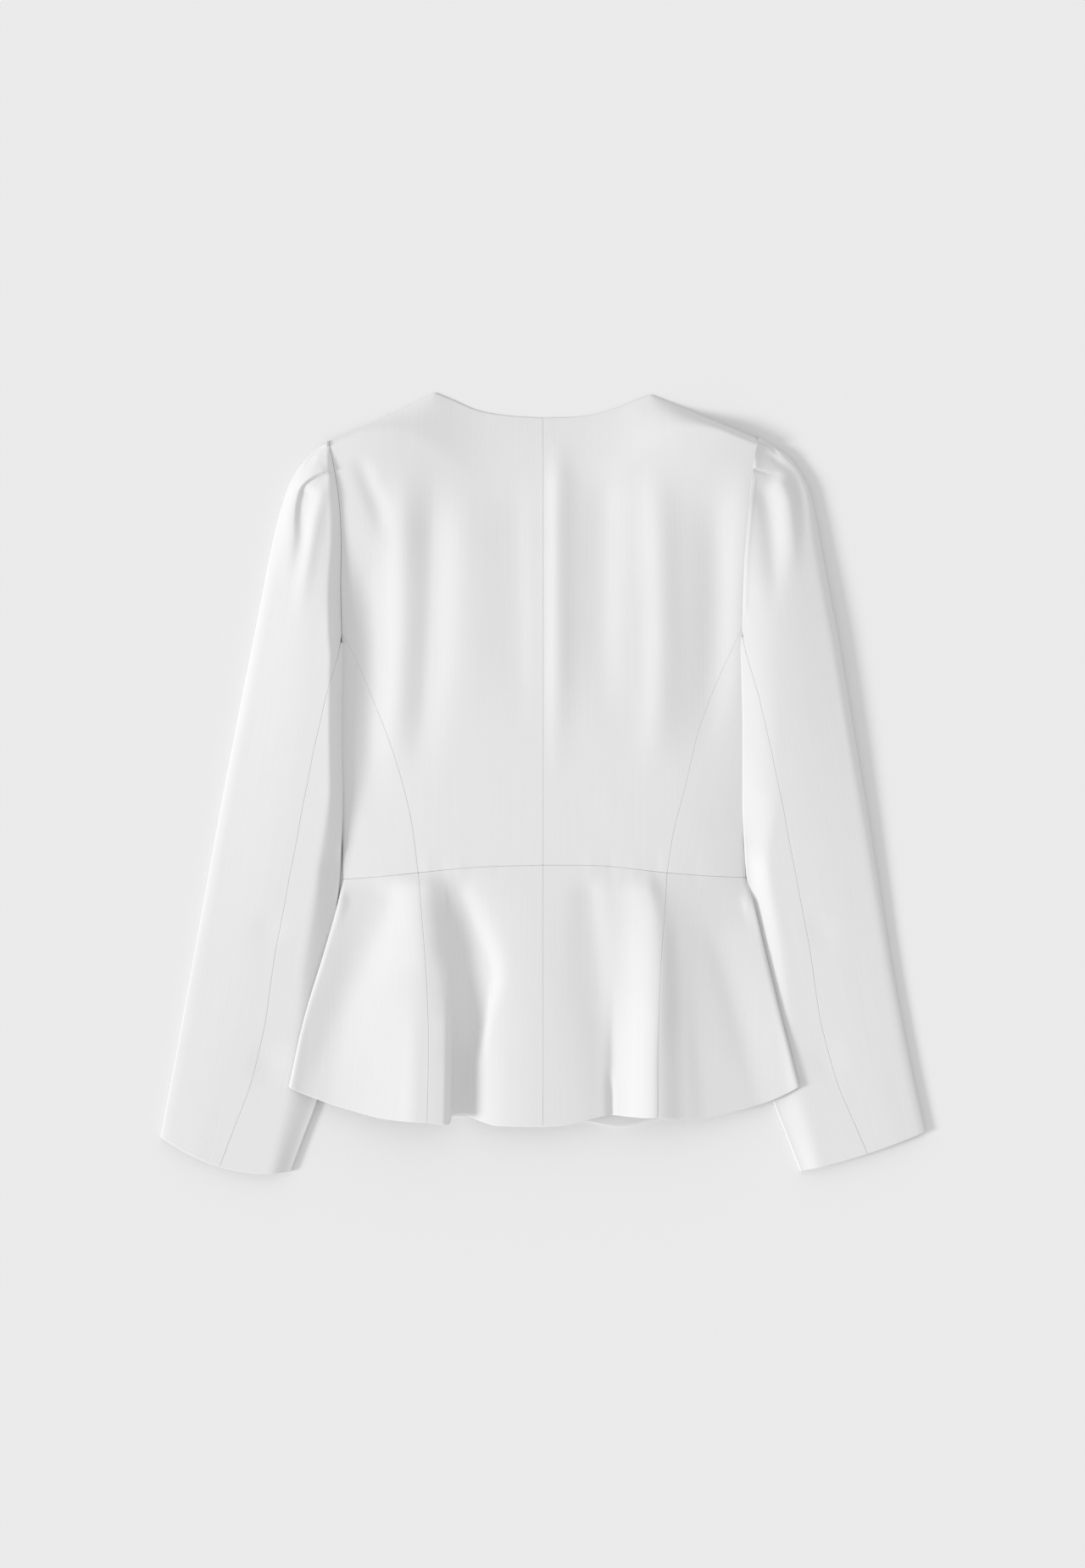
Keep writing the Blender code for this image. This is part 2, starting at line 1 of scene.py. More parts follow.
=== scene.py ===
"""A white peplum jacket laid flat, back side up, on a pale floor in soft light from the left."""
import bpy
import numpy as np
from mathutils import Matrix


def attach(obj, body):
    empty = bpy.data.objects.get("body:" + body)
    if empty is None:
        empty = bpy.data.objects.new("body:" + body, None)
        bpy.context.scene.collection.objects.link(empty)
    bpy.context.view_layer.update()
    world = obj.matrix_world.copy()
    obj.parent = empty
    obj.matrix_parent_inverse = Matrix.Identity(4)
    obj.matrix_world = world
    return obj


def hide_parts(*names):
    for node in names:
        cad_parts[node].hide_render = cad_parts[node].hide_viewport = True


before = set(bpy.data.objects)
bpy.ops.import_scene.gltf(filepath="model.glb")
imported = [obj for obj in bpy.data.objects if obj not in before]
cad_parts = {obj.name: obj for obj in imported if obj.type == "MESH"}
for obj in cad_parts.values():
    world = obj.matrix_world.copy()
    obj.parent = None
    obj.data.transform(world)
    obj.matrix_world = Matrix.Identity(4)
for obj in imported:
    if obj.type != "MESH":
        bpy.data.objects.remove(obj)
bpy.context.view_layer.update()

# The back of the bodice
# Two panels of plain white suiting from the rolled shoulders to the waist, sewn down the centre back.
# The allowances are pressed flat behind each seam, so that a seam shows as a fine groove.

MM = 0.001
GRID = 2.4                          # mesh spacing over plain cloth
CLOSE = (0.0, 0.5, 1.2, 2.2, 3.6)   # distances of the first rows and columns from an edge
MOST_DRAWN = 0.4                    # an edge moves in by at most this share of the room beside it
CLOTH = 0.85                        # thickness of the cloth as it lies
TURNED = 1.35                       # thickness where a hem or cuff is turned up behind it
TURNED_DEPTH = 28.0                 # how deep the turning is
TURNED_STEP = 3.0                   # width of the step where it ends
SEAM_RIM = 0.24                     # how far a sewn edge rounds over, seen from above
HEM_RIM = 0.8                       # the same at a hem, a cuff or the neck of the front
WAIST_RIM = 0.15                    # the same at the waist seam
RIM_TURNS = (36.0, 72.0, 108.0, 144.0)        # angles of the points that round an edge over
SEAM_GAP = 0.03                     # each piece stops this far short of its seam line
LAYERS = 3.5                        # two layers of cloth lying on each other
EDGE_LEVEL = 2.2                    # upper face of the back where it meets the front along an edge
NECK_LEVEL = 0.88                   # the same at the neck, which lies on the table itself
BODY_FILL = 11.5                    # how far the middle of the back stands above a bodice pressed flat
WAIST_DIP = 3.0                     # how much lower it stands at the waist
DOME_HALF = {"left": 188.0, "right": 202.0}   # half width of the domed back
DOME_WIDER = {"left": 56.0, "right": 40.0}    # how much wider it is at the top
DOME_NARROWER = {"left": 12.0, "right": 24.0}     # how much narrower it is at the waist
DOME_POWER = {"left": 3.0, "right": 5.0}      # a high power is flat in the middle and steep at the side
SHOULDER_ROLL = 6.5                 # width of the rounded edge where the back turns over the shoulder
NECK_RIM = 0.9                      # how far the neck and shoulder edges round over, seen from above
NECK_ROLL = 60.0                    # width over which the back sinks to its neck edge
NECK_DIP = {"left": 0.80, "right": 0.46}      # share of the fullness lost beside the neck
SIDE_ROLL = 3.6                     # width of the rounded edge at the side seams
SHOULDER_FILL = 0.32                # the right shoulder stands fuller than the left by this share

# Where a change of the back begins, and the run over which it takes place
TO_SHOULDER = (24.0, 136.0)         # outwards, from the wide roll at the neck to the narrow one
WIDENS = (140.0, 120.0)             # up the back
NARROWS = (40.0, -80.0)             # down the back
SINKS = (40.0, -110.0)              # down the back, to the waist's dip
DIP_UP = (180.0, 140.0)             # up the back, to the neck's dip
DIP_INWARDS = (165.0, -120.0)       # the same from the side
DIP_ACROSS = (-60.0, 120.0)         # from the left side's dip to the right side's
FILL_UP = (150.0, 140.0)            # up the back, to the full right shoulder
FILL_OUTWARDS = (30.0, 90.0)        # the same from the centre
CREASES_UP = (-84.0, 70.0)          # up from the waist, where the back's creases begin
CREASES_FROM_LEFT = (-176.0, 30.0)  # the same from the left armhole

# Seam and edge lines seen from above, as (distance from the centre back, height up the back)
BODICE = {
    "left": {
        "neck": [(0, 314.3), (30, 316.1), (59, 321.2), (80, 330.2), (94.2, 335.8)],
        "shoulder": [(94.2, 335.8), (139.4, 313.9), (185, 294.4)],
        "armhole": [(185, 294.4), (182.5, 282.5), (177.1, 253.3), (174, 207.3), (174.6, 171.6),
                    (173.8, 127)],
        "princess": [(173.8, 127), (165, 113.2), (146.7, 71.5), (128.5, 24.1), (114.6, -27),
                     (107.5, -77.4)],
        "waist": [(0, -70.8), (62.3, -73), (107.5, -77.4), (142.4, -81), (173, -83.2)],
    },
    "right": {
        "neck": [(0, 314.3), (35.8, 316.1), (65, 323.4), (80, 329.5), (92.7, 334.2)],
        "shoulder": [(92.7, 334.2), (138, 316.1), (184.6, 297.2)],
        "armhole": [(184.6, 297.2), (180.8, 276.7), (176.9, 236.9), (172.9, 192.7), (171.2, 150),
                    (170.8, 132)],
        "princess": [(170.8, 132), (152.6, 93.4), (134.3, 46), (121.9, -5.1), (112.4, -41.6),
                     (106.6, -77.4)],
        "waist": [(0, -70.8), (51.4, -71.5), (106.6, -77.4), (140, -80), (175, -81.8)],
    },
}

# Creases of the back: points along the crease, width on its left and right side walking along it,
# height (a trough if below 0), share of its length over which it fades in and out
BACK_CREASES = [
    ([(-119, 288), (-121, 200), (-124, 100), (-134, -15)], 12, 12, (3.0, 3.0, 2.4), (0.28, 0.3)),
    ([(-93, 284), (-95, 200), (-99, 100), (-110, -15)], 16, 11, (-3.0, -3.0, -2.4), (0.28, 0.3)),
    ([(-160, 220), (-156, 160), (-153, 90), (-154, 20), (-160, -50)], 32, 12,
     (-2, -3.8, -4.2, -3.6, -2), (0.2, 0.3)),
    ([(-165, 286), (-153, 260), (-143, 238), (-136, 200)], 8, 8, -2.2, (0.25, 0.5)),
    ([(-66, 275), (-68, 150), (-70, 40)], 22, 18, 1.6, (0.3, 0.4)),
    ([(-24, 280), (-22, 150), (-20, 30)], 10, 18, -1.2, (0.3, 0.4)),
    ([(13, 305), (12, 200), (12, 100), (11, -10)], 11, 8, 2.6, (0.15, 0.4)),
    ([(52, 288), (51, 200), (50, 110), (52, 40)], 15, 22, -3.0, (0.25, 0.4)),
    ([(96, 288), (100, 200), (102, 110), (94, -10)], 15, 13, (3.4, 3.4, 2.6), (0.25, 0.3)),
    ([(142, 280), (148, 190), (146, 100), (128, -5)], 15, 17, (-3.2, -3.2, -2.4), (0.3, 0.35)),
    ([(176, 292), (174, 220), (171, 150), (170, 60), (172, 0)], 14, 14, 2.2, (0.2, 0.5)),
]

# Small puckers on both sides of the waist seam
WAIST_RIPPLES = [
    ([(-101, -50), (-99, -78), (-98, -104)], 4, 5, 0.3, (0.5, 0.5)),
    ([(-87, -58), (-86, -80), (-84, -100)], 4, 4, -0.28, (0.5, 0.5)),
    ([(-71, -56), (-72, -96)], 5, 4, 0.25, (0.5, 0.5)),
    ([(-38, -60), (-40, -88)], 5, 5, -0.2, (0.5, 0.5)),
    ([(41, -54), (42, -96)], 5, 5, 0.22, (0.5, 0.5)),
    ([(58, -50), (59, -100)], 4, 4, -0.3, (0.5, 0.5)),
    ([(77, -56), (78, -98)], 5, 4, 0.25, (0.5, 0.5)),
    ([(97, -46), (98, -104)], 4, 5, -0.3, (0.5, 0.5)),
    ([(-136, -62), (-140, -98)], 6, 5, 0.2, (0.5, 0.5)),
    ([(128, -58), (133, -98)], 5, 6, -0.2, (0.5, 0.5)),
]


def sign_of(side):
    return -1.0 if side == "left" else 1.0


def mirrored(side, points):
    return [(sign_of(side) * x, y) for x, y in points]


def smooth_step(value):
    t = np.clip(value, 0.0, 1.0)
    return t * t * (3.0 - 2.0 * t)


def step(value, start_and_run):
    """0 before the start, 1 after the run; a run below 0 counts the other way."""
    start, run = start_and_run
    return smooth_step((value - start) / run)


def rounded(value):
    """Rises from 0 to 1 like the side of a rolled edge."""
    t = np.clip(value, 0.0, 1.0)
    return np.sqrt(1.0 - (1.0 - t) ** 2)


def curve_through(points, fine=60):
    """A fine smooth curve through a few points."""
    p = np.array(points, float)
    chord = np.concatenate([[0.0], np.cumsum(np.linalg.norm(np.diff(p, axis=0), axis=1))])
    if len(p) > 2:
        slope = np.gradient(p, chord, axis=0)
    else:
        slope = np.repeat((p[1:] - p[:1]) / chord[-1], 2, axis=0)
    pieces = []
    for k in range(len(p) - 1):
        s = np.linspace(0.0, 1.0, fine, endpoint=False)[:, None]
        span = chord[k + 1] - chord[k]
        pieces.append((2 * s**3 - 3 * s**2 + 1) * p[k] + (s**3 - 2 * s**2 + s) * span * slope[k]
                      + (3 * s**2 - 2 * s**3) * p[k + 1] + (s**3 - s**2) * span * slope[k + 1])
    return np.concatenate(pieces + [p[-1:]])


def lengths_along(curve):
    return np.concatenate([[0.0], np.cumsum(np.linalg.norm(np.diff(curve, axis=0), axis=1))])


def place_along(curve, shares):
    """Points at the given shares of a curve's length."""
    length = lengths_along(curve)
    at = np.asarray(shares) * length[-1]
    return np.stack([np.interp(at, length, curve[:, k]) for k in range(curve.shape[1])], axis=1)


def end_to_end(*runs):
    return np.concatenate([runs[0]] + [run[1:] for run in runs[1:]])


def spaced(length, spacing=GRID, close_start=True, close_end=True):
    """Shares of a length for rows or columns of the mesh, closer together beside the edges."""
    start = np.array(CLOSE) if close_start else np.zeros(1)
    end = np.array(CLOSE) if close_end else np.zeros(1)
    count = max(int(round((length - start[-1] - end[-1]) / spacing)), 2)
    middle = np.linspace(start[-1], length - end[-1], count + 1)
    return np.concatenate([start[:-1], middle, length - end[:-1][::-1]]) / length


def mean_shares(one, other):
    shares = [lengths_along(edge) / lengths_along(edge)[-1] for edge in (one, other)]
    return 0.5 * (shares[0] + shares[1])


def patch(bottom, top, left, right):
    """A grid of plan points between four edges, rows from bottom to top."""
    u = mean_shares(bottom, top)[None, :, None]
    v = mean_shares(left, right)[:, None, None]
    across = (1 - u) * left[:, None] + u * right[:, None]
    along = (1 - v) * bottom[None] + v * top[None]
    corners = (1 - v) * ((1 - u) * bottom[0] + u * bottom[-1]) + v * ((1 - u) * top[0] + u * top[-1])
    return across + along - corners


def along_crease(value, share):
    """A width or height of a crease: one number, or several read at even steps from start to end."""
    values = value if isinstance(value, tuple) else (value,)
    return np.interp(share, np.linspace(0.0, 1.0, len(values)), values)


CREASE_STEPS = 48                   # short steps along a crease


def crease_height(x, y, creases):
    """Sum of ridges and troughs, each along its own curve with its own width on either side."""
    total = np.zeros_like(x)
    for points, left_width, right_width, height, fade in creases:
        curve = place_along(curve_through(points), np.linspace(0.0, 1.0, CREASE_STEPS + 1))
        tangent = np.gradient(curve, axis=0)
        tangent /= np.linalg.norm(tangent, axis=1, keepdims=True)
        offset = np.stack([x, y], axis=-1)[..., None, :] - curve
        nearest = np.argmin((offset**2).sum(-1), axis=-1)
        away = np.take_along_axis(offset, nearest[..., None, None], axis=-2)[..., 0, :]
        along = tangent[nearest]
        side = along[..., 0] * away[..., 1] - along[..., 1] * away[..., 0]
        beyond = along[..., 0] * away[..., 0] + along[..., 1] * away[..., 1]
        share = (nearest + beyond / np.linalg.norm(curve[1] - curve[0])) / CREASE_STEPS
        share = np.clip(share, 0.0, 1.0)
        width = np.where(side > 0.0, along_crease(left_width, share), along_crease(right_width, share))
        ends = np.ones_like(x)
        if fade[0]:
            ends = ends * smooth_step(share / fade[0])
        if fade[1]:
            ends = ends * smooth_step((1.0 - share) / fade[1])
        total += along_crease(height, share) * ends * np.exp(-((side / width) ** 2))
    return total


def edge_distance(x, y):
    """How far a point of the back lies from the neck and shoulder edges, rounded off between the two."""
    distance = np.zeros_like(x)
    for side in ("left", "right"):
        closeness = 0.0
        for edge in ("neck", "shoulder"):
            points = place_along(curve_through(BODICE[side][edge]), np.linspace(0.0, 1.0, 40))
            from_start = np.stack([np.abs(x), y], axis=-1)[..., None, :] - points[:-1]
            run = np.diff(points, axis=0)
            share = np.clip((from_start * run).sum(-1) / np.maximum((run**2).sum(-1), 1e-9), 0.0, 1.0)
            nearest = np.linalg.norm(from_start - share[..., None] * run, axis=-1).min(axis=-1)
            closeness = closeness + np.maximum(nearest, 0.001) ** -2.0
        distance = np.where((x >= 0.0) == (side == "right"), closeness**-0.5, distance)
    return distance


def per_side(values, x):
    """The value for the left or the right half of the back, at each point."""
    return np.where(x < 0.0, values["left"], values["right"])


def back_top(x, y):
    """Upper face of the bodice's back: domed, rolled at the shoulders, flat on the table at the neck."""
    at_shoulder = step(np.abs(x), TO_SHOULDER)
    width = NECK_ROLL + (SHOULDER_ROLL - NECK_ROLL) * at_shoulder
    roll = np.sin(0.5 * np.pi * np.clip(edge_distance(x, y) / width, 0.0, 1.0))
    level = NECK_LEVEL + (EDGE_LEVEL - NECK_LEVEL) * at_shoulder
    half = per_side(DOME_HALF, x) + per_side(DOME_WIDER, x) * step(y, WIDENS)
    half = half - per_side(DOME_NARROWER, x) * step(y, NARROWS)
    dome = 1.0 - (np.abs(x) / half) ** per_side(DOME_POWER, x)
    dome = dome * (BODY_FILL - WAIST_DIP * step(y, SINKS))
    dip = NECK_DIP["left"] + (NECK_DIP["right"] - NECK_DIP["left"]) * step(x, DIP_ACROSS)
    dome = dome * (1.0 - dip * step(y, DIP_UP) * step(np.abs(x), DIP_INWARDS))
    dome = dome * (1.0 + SHOULDER_FILL * step(y, FILL_UP) * step(x, FILL_OUTWARDS))
    creases = crease_height(x, y, BACK_CREASES) * step(y, CREASES_UP)
    creases = creases * np.where(x < 0.0, step(x, CREASES_FROM_LEFT), 1.0)
    creases = creases + crease_height(x, y, WAIST_RIPPLES)
    return level + (LAYERS - level + np.maximum(dome, 0.0) + creases) * roll


def drawn_in(grid, sides, gap=SEAM_GAP + SEAM_RIM):
    """Stop a grid short of its seam lines by the rounding of the edge, easing the lines next to it."""
    grid = np.array(grid, float)
    for name in sides:
        lines = np.moveaxis(grid, 0 if name in ("bottom", "top") else 1, 0)
        if name in ("top", "right"):
            lines = lines[::-1]
        inside = lines[len(CLOSE) - 1].copy()
        room = np.linalg.norm(inside - lines[0], axis=-1, keepdims=True)
        for k in range(len(CLOSE) - 1):
            lines[k] += (inside - lines[k]) * np.minimum(gap / np.maximum(room, 1e-6), MOST_DRAWN)
    return grid


def outward_normals(grid):
    """Directions out of the cloth's outer face, evened out a little so that the wall stays whole."""
    normal = np.cross(np.gradient(grid, axis=1), np.gradient(grid, axis=0))
    for _ in range(2):
        padded = np.pad(normal, ((1, 1), (1, 1), (0, 0)), mode="edge")
        normal = 0.2 * (padded[:-2, 1:-1] + padded[2:, 1:-1] + padded[1:-1, :-2] + padded[1:-1, 2:]
                        + padded[1:-1, 1:-1])
    return normal / np.maximum(np.linalg.norm(normal, axis=-1, keepdims=True), 1e-9)


def cloth_piece(name, grid, rims, turned=None, anchor=0):
    """A thin wall of cloth from a grid of points on its outer face, with every edge rounded over.
    turned names the side with a hem turned up behind it; anchor is the column that the grain follows."""
    rows, columns = grid.shape[:2]
    normal = outward_normals(grid)
    across = np.pad(np.cumsum(np.linalg.norm(np.diff(grid, axis=1), axis=-1), axis=1), ((0, 0), (1, 0)))
    along = np.pad(np.cumsum(np.linalg.norm(np.diff(grid, axis=0), axis=-1), axis=0), ((1, 0), (0, 0)))
    wall = np.full((rows, columns), CLOTH)
    if turned:
        reach = along if turned == "bottom" else along[-1:] - along
        wall = CLOTH + (TURNED - CLOTH) * smooth_step((TURNED_DEPTH - reach) / TURNED_STEP)
    index = np.arange(rows * columns).reshape(rows, columns)
    loop = np.concatenate([index[0], index[1:, -1], index[-1, -2::-1], index[-2:0:-1, 0]])
    counts = (columns, rows - 1, columns - 1, rows - 2)
    widths = np.repeat([rims[side] for side in ("bottom", "right", "top", "left")], counts)
    flat, flat_normal, flat_wall = grid.reshape(-1, 3), normal.reshape(-1, 3), wall.ravel()
    edge, edge_normal, edge_wall = flat[loop], flat_normal[loop], flat_wall[loop]
    tangent = np.roll(edge, -1, axis=0) - np.roll(edge, 1, axis=0)
    outwards = np.cross(tangent, edge_normal)
    outwards /= np.maximum(np.linalg.norm(outwards, axis=1, keepdims=True), 1e-9)
    rim = [edge + outwards * (widths * np.sin(turn))[:, None]
           - edge_normal * (0.5 * edge_wall * (1.0 - np.cos(turn)))[:, None]
           for turn in np.radians(RIM_TURNS)]
    points = np.concatenate([flat, flat - flat_normal * flat_wall[:, None]] + rim) * MM

    def quads(a, b, c, d):
        return np.stack([a, b, c, d], axis=-1).reshape(-1, 4)

    inner = index + rows * columns
    top = quads(index[:-1, :-1], index[:-1, 1:], index[1:, 1:], index[1:, :-1])
    under = quads(inner[:-1, :-1], inner[1:, :-1], inner[1:, 1:], inner[:-1, 1:])
    rim_index = 2 * rows * columns + np.arange(len(rim) * len(loop)).reshape(len(rim), len(loop))
    bands = [loop, *rim_index, loop + rows * columns]
    edges = [quads(lower, np.roll(lower, -1), np.roll(upper, -1), upper)
             for upper, lower in zip(bands[:-1], bands[1:])]
    faces = np.concatenate([top, under] + edges)
    mesh = bpy.data.meshes.new(name)
    mesh.from_pydata(points.tolist(), [], faces.tolist())
    on_grain = np.broadcast_to(along[:, [anchor]], across.shape)
    place = np.stack([across - across[:, [anchor]], on_grain], axis=-1).reshape(-1, 2) * MM
    place = np.concatenate([place, place] + [place[loop]] * len(rim))
    corner = np.empty(len(mesh.loops), np.int32)
    mesh.loops.foreach_get("vertex_index", corner)
    grain = mesh.uv_layers.new(name="grain")
    grain.data.foreach_set("uv", place[corner].astype(np.float32).ravel())
    mesh.shade_smooth()
    mesh.update()
    mesh.materials.append(white_suiting())
    piece = bpy.data.objects.new(name, mesh)
    bpy.context.scene.collection.objects.link(piece)
    return piece


SLUBS = (700.0, 9.0)                # thin streaks to a metre, across and along the grain
CLOUDS = (45.0, 30.0)               # broad soft changes of shade, counted in the same way
THREAD_PITCH = {"X": 0.00055, "Y": 0.00060}   # metres from thread to thread, across and along
BAND_WIDTH = 0.31416                # metres from band to band in a wave pattern of scale 1
SHADE_SHARES = (0.7, 0.3)           # shares of the streaks and the broad changes in the shade
SHADES = ((0.729, 0.729, 0.731, 1.0), (0.760, 0.760, 0.759, 1.0))
SHADE_PLACES = (0.25, 0.75)
WEAVE_RELIEF = 0.35                 # height of the threads against the slubs
ROUGHNESS = (0.72, 0.88)


def white_suiting():
    """Matt white suiting: a fine plain weave with faint slubs along the grain, read from the grain map."""
    if "suiting_weave" in bpy.data.materials:
        return bpy.data.materials["suiting_weave"]
    material = bpy.data.materials.new("suiting_weave")
    material.use_nodes = True
    nodes, links = material.node_tree.nodes, material.node_tree.links
    shader = nodes["Principled BSDF"]
    shader.inputs["Sheen Weight"].default_value = 0.12
    shader.inputs["Sheen Roughness"].default_value = 0.45
    shader.inputs["Specular IOR Level"].default_value = 0.22
    grain = nodes.new("ShaderNodeUVMap")
    grain.uv_map = "grain"

    def noise(to_a_metre, detail):
        mapping = nodes.new("ShaderNodeMapping")
        mapping.inputs["Scale"].default_value = (*to_a_metre, 1.0)
        links.new(grain.outputs["UV"], mapping.inputs["Vector"])
        texture = nodes.new("ShaderNodeTexNoise")
        texture.inputs["Scale"].default_value = 1.0
        texture.inputs["Detail"].default_value = detail
        texture.inputs["Roughness"].default_value = 0.55
        links.new(mapping.outputs["Vector"], texture.inputs["Vector"])
        return texture.outputs["Fac"]

    def threads(direction):
        wave = nodes.new("ShaderNodeTexWave")
        wave.bands_direction = direction
        wave.inputs["Scale"].default_value = BAND_WIDTH / THREAD_PITCH[direction]
        wave.inputs["Distortion"].default_value = 1.2
        wave.inputs["Detail"].default_value = 1.0
        links.new(grain.outputs["UV"], wave.inputs["Vector"])
        return wave.outputs["Fac"]

    def mixed(operation, a, b):
        node = nodes.new("ShaderNodeMath")
        node.operation = operation
        for socket, value in zip(node.inputs, (a, b)):
            if isinstance(value, float):
                socket.default_value = value
            else:
                links.new(value, socket)
        return node.outputs[0]

    slubs = noise(SLUBS, 3.0)
    clouds = noise(CLOUDS, 2.0)
    weave = mixed("MAXIMUM", threads("X"), threads("Y"))
    relief = mixed("ADD", mixed("MULTIPLY", weave, WEAVE_RELIEF), slubs)
    bump = nodes.new("ShaderNodeBump")
    bump.inputs["Strength"].default_value = 0.55
    bump.inputs["Distance"].default_value = 0.00012
    links.new(relief, bump.inputs["Height"])
    links.new(bump.outputs["Normal"], shader.inputs["Normal"])
    colour = nodes.new("ShaderNodeValToRGB")
    for element, shade, position in zip(colour.color_ramp.elements, SHADES, SHADE_PLACES):
        element.color = shade
        element.position = position
    streaks, changes = (mixed("MULTIPLY", *pair) for pair in zip((slubs, clouds), SHADE_SHARES))
    links.new(mixed("ADD", streaks, changes), colour.inputs["Fac"])
    links.new(colour.outputs["Color"], shader.inputs["Base Color"])
    rough = nodes.new("ShaderNodeMapRange")
    rough.inputs["To Min"].default_value, rough.inputs["To Max"].default_value = ROUGHNESS
    links.new(weave, rough.inputs["Value"])
    links.new(rough.outputs["Result"], shader.inputs["Roughness"])
    return material


def sewn(piece, node):
    """Stands for its solid: hides that solid and hangs the piece from the root body."""
    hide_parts(node)
    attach(piece, "root")


def line(side, name):
    """A seam or edge line of the bodice on its own side of the page."""
    return curve_through(mirrored(side, BODICE[side][name]))


def facing_up(side, grid):
    """Rows run the same way on both sides of the jacket, so a left grid is turned over."""
    return grid[:, ::-1] if side == "left" else grid


def with_height(plan, height):
    x, y = plan[..., 0], plan[..., 1]
    return np.dstack([x, y, height(x, y)])


def waist_share(side):
    """Where the princess seam meets the waist, as a share of the waist line's length."""
    waist = curve_through(BODICE[side]["waist"])
    length = lengths_along(waist)
    return float(np.interp(BODICE[side]["princess"][-1][0], waist[:, 0], length)) / length[-1]


def part_of(curve, start, end, shares):
    """Points at shares of the stretch of a curve between two shares of its whole length."""
    return place_along(curve, start + (end - start) * np.asarray(shares))


def rim_widths(side, **widths):
    """Rim widths by side of the grid, given as centre and outer sides of the jacket."""
    centre, outer = ("right", "left") if side == "left" else ("left", "right")
    return {"bottom": widths["bottom"], "top": widths["top"],
            centre: widths["centre"], outer: widths["outer"]}


for side in ("left", "right"):
    outer = end_to_end(line(side, "princess")[::-1], line(side, "armhole")[::-1])
    down = spaced(lengths_along(outer)[-1])
    neck, shoulder = line(side, "neck"), line(side, "shoulder")
    over = end_to_end(place_along(neck, spaced(lengths_along(neck)[-1], close_end=False)),
                      place_along(shoulder, spaced(lengths_along(shoulder)[-1], close_start=False)))
    shares = mean_shares(over, over)
    bottom = part_of(line(side, "waist"), 0.0, waist_share(side), shares)
    centre = np.stack([0.0 * down, bottom[0][1] + (over[0][1] - bottom[0][1]) * down], axis=1)
    plan = drawn_in(patch(bottom, over, centre, place_along(outer, down)), ("top", "left", "right"))
    plan = drawn_in(plan, ("bottom",), SEAM_GAP + WAIST_RIM)
    grid = facing_up(side, with_height(plan, back_top))
    back = cloth_piece("back_panel_" + side, grid,
                       rim_widths(side, bottom=WAIST_RIM, top=NECK_RIM, centre=SEAM_RIM, outer=SEAM_RIM),
                       anchor=-1 if side == "left" else 0)
    sewn(back, "back_" + side)

# The side backs
# A narrow panel of the same suiting on each side, between the princess seam and the side seam.
# Its outer margin lies under the sleeve, which presses it flat.

SIDE_SEAM = [(173.6, -83), (175, -40), (181, 0), (188, 40), (195, 80)]
UNDERARM = [(195, 80), (184, 92), (174, 107)]
UNDERARM_RIM = 0.3                  # how far the panel's edge rounds over below the sleeve
SIDE_BACK_WIDTH = 60.0              # about the panel's width, for its columns


def side_seam(side):
    """From the end of the waist line up to the underarm."""
    return curve_through([mirrored(side, BODICE[side]["waist"])[-1]] + mirrored(side, SIDE_SEAM)[1:])


def side_rolled(grid, under=0.0):
    """Bring the outer edge of a panel down to the front piece, whose underside lies at the height under."""
    from_edge = np.linalg.norm(grid[..., :2] - grid[:, -1:, :2], axis=-1)
    meets = under + EDGE_LEVEL
    grid[..., 2] = meets + (grid[..., 2] - meets) * rounded(from_edge / SIDE_ROLL)
    return grid


def underarm(side):
    """From the side seam round below the sleeve to the end of the armhole line."""
    return curve_through(mirrored(side, UNDERARM) + [mirrored(side, BODICE[side]["armhole"])[-1]])


for side in ("left", "right"):
    princess = line(side, "princess")[::-1]
    down = spaced(lengths_along(princess)[-1])
    top = underarm(side)[::-1]
    shares = spaced(SIDE_BACK_WIDTH)
    bottom = part_of(line(side, "waist"), waist_share(side), 1.0, shares)
    plan = patch(bottom, place_along(top, shares), place_along(princess, down),
                 place_along(side_seam(side), down))
    plan = drawn_in(drawn_in(plan, ("top", "left", "right")), ("bottom",), SEAM_GAP + WAIST_RIM)
    grid = facing_up(side, side_rolled(with_height(plan, back_top)))
    side_back = cloth_piece("side_back_panel_" + side, grid,
                            rim_widths(side, bottom=WAIST_RIM, top=UNDERARM_RIM, centre=SEAM_RIM,
                                       outer=SEAM_RIM),
                            anchor=-1 if side == "left" else 0)
    sewn(side_back, "side_back_" + side)

# The top sleeves
# The outer pieces of long two-piece sleeves of the same suiting, with two pleats at the back of each head.
# Each runs from the back seam over the outer fold to the front seam below, and its cuff is turned up.

FOLD = 4.2                          # height of an edge where a tube of cloth is folded flat
CLEAR = 0.3                         # air between pieces that lie on each other
SLEEVE_ON_BODY = LAYERS + 2 * CLEAR
LEAST_FULL = 2.4                    # the upper face stands at least this far above the lower one
SEAM_LIFT = {"left": 0.35, "right": 0.2}      # how far a sleeve stands above the bodice at the armhole
EDGE_ROLL = {"left": 10.0, "right": 9.0}      # width of the tight roll at a sleeve's outer edge
EDGE_SHARE = {"left": 0.42, "right": 0.58}    # share of the sleeve's fullness gained in that roll
CUFF_BOW = {"left": 1.0, "right": 0.25}       # share of the listed bow that the cuff has
CROWN = {"left": 1.0, "right": 0.78}          # share of the listed fullness that a sleeve has
OUTER_CROWN = {"left": 0.57, "right": 0.76}   # share of that beside the outer roll
INNER_ROLL = {"left": 0.66, "right": 1.8}     # share of the listed inner roll, above the waist

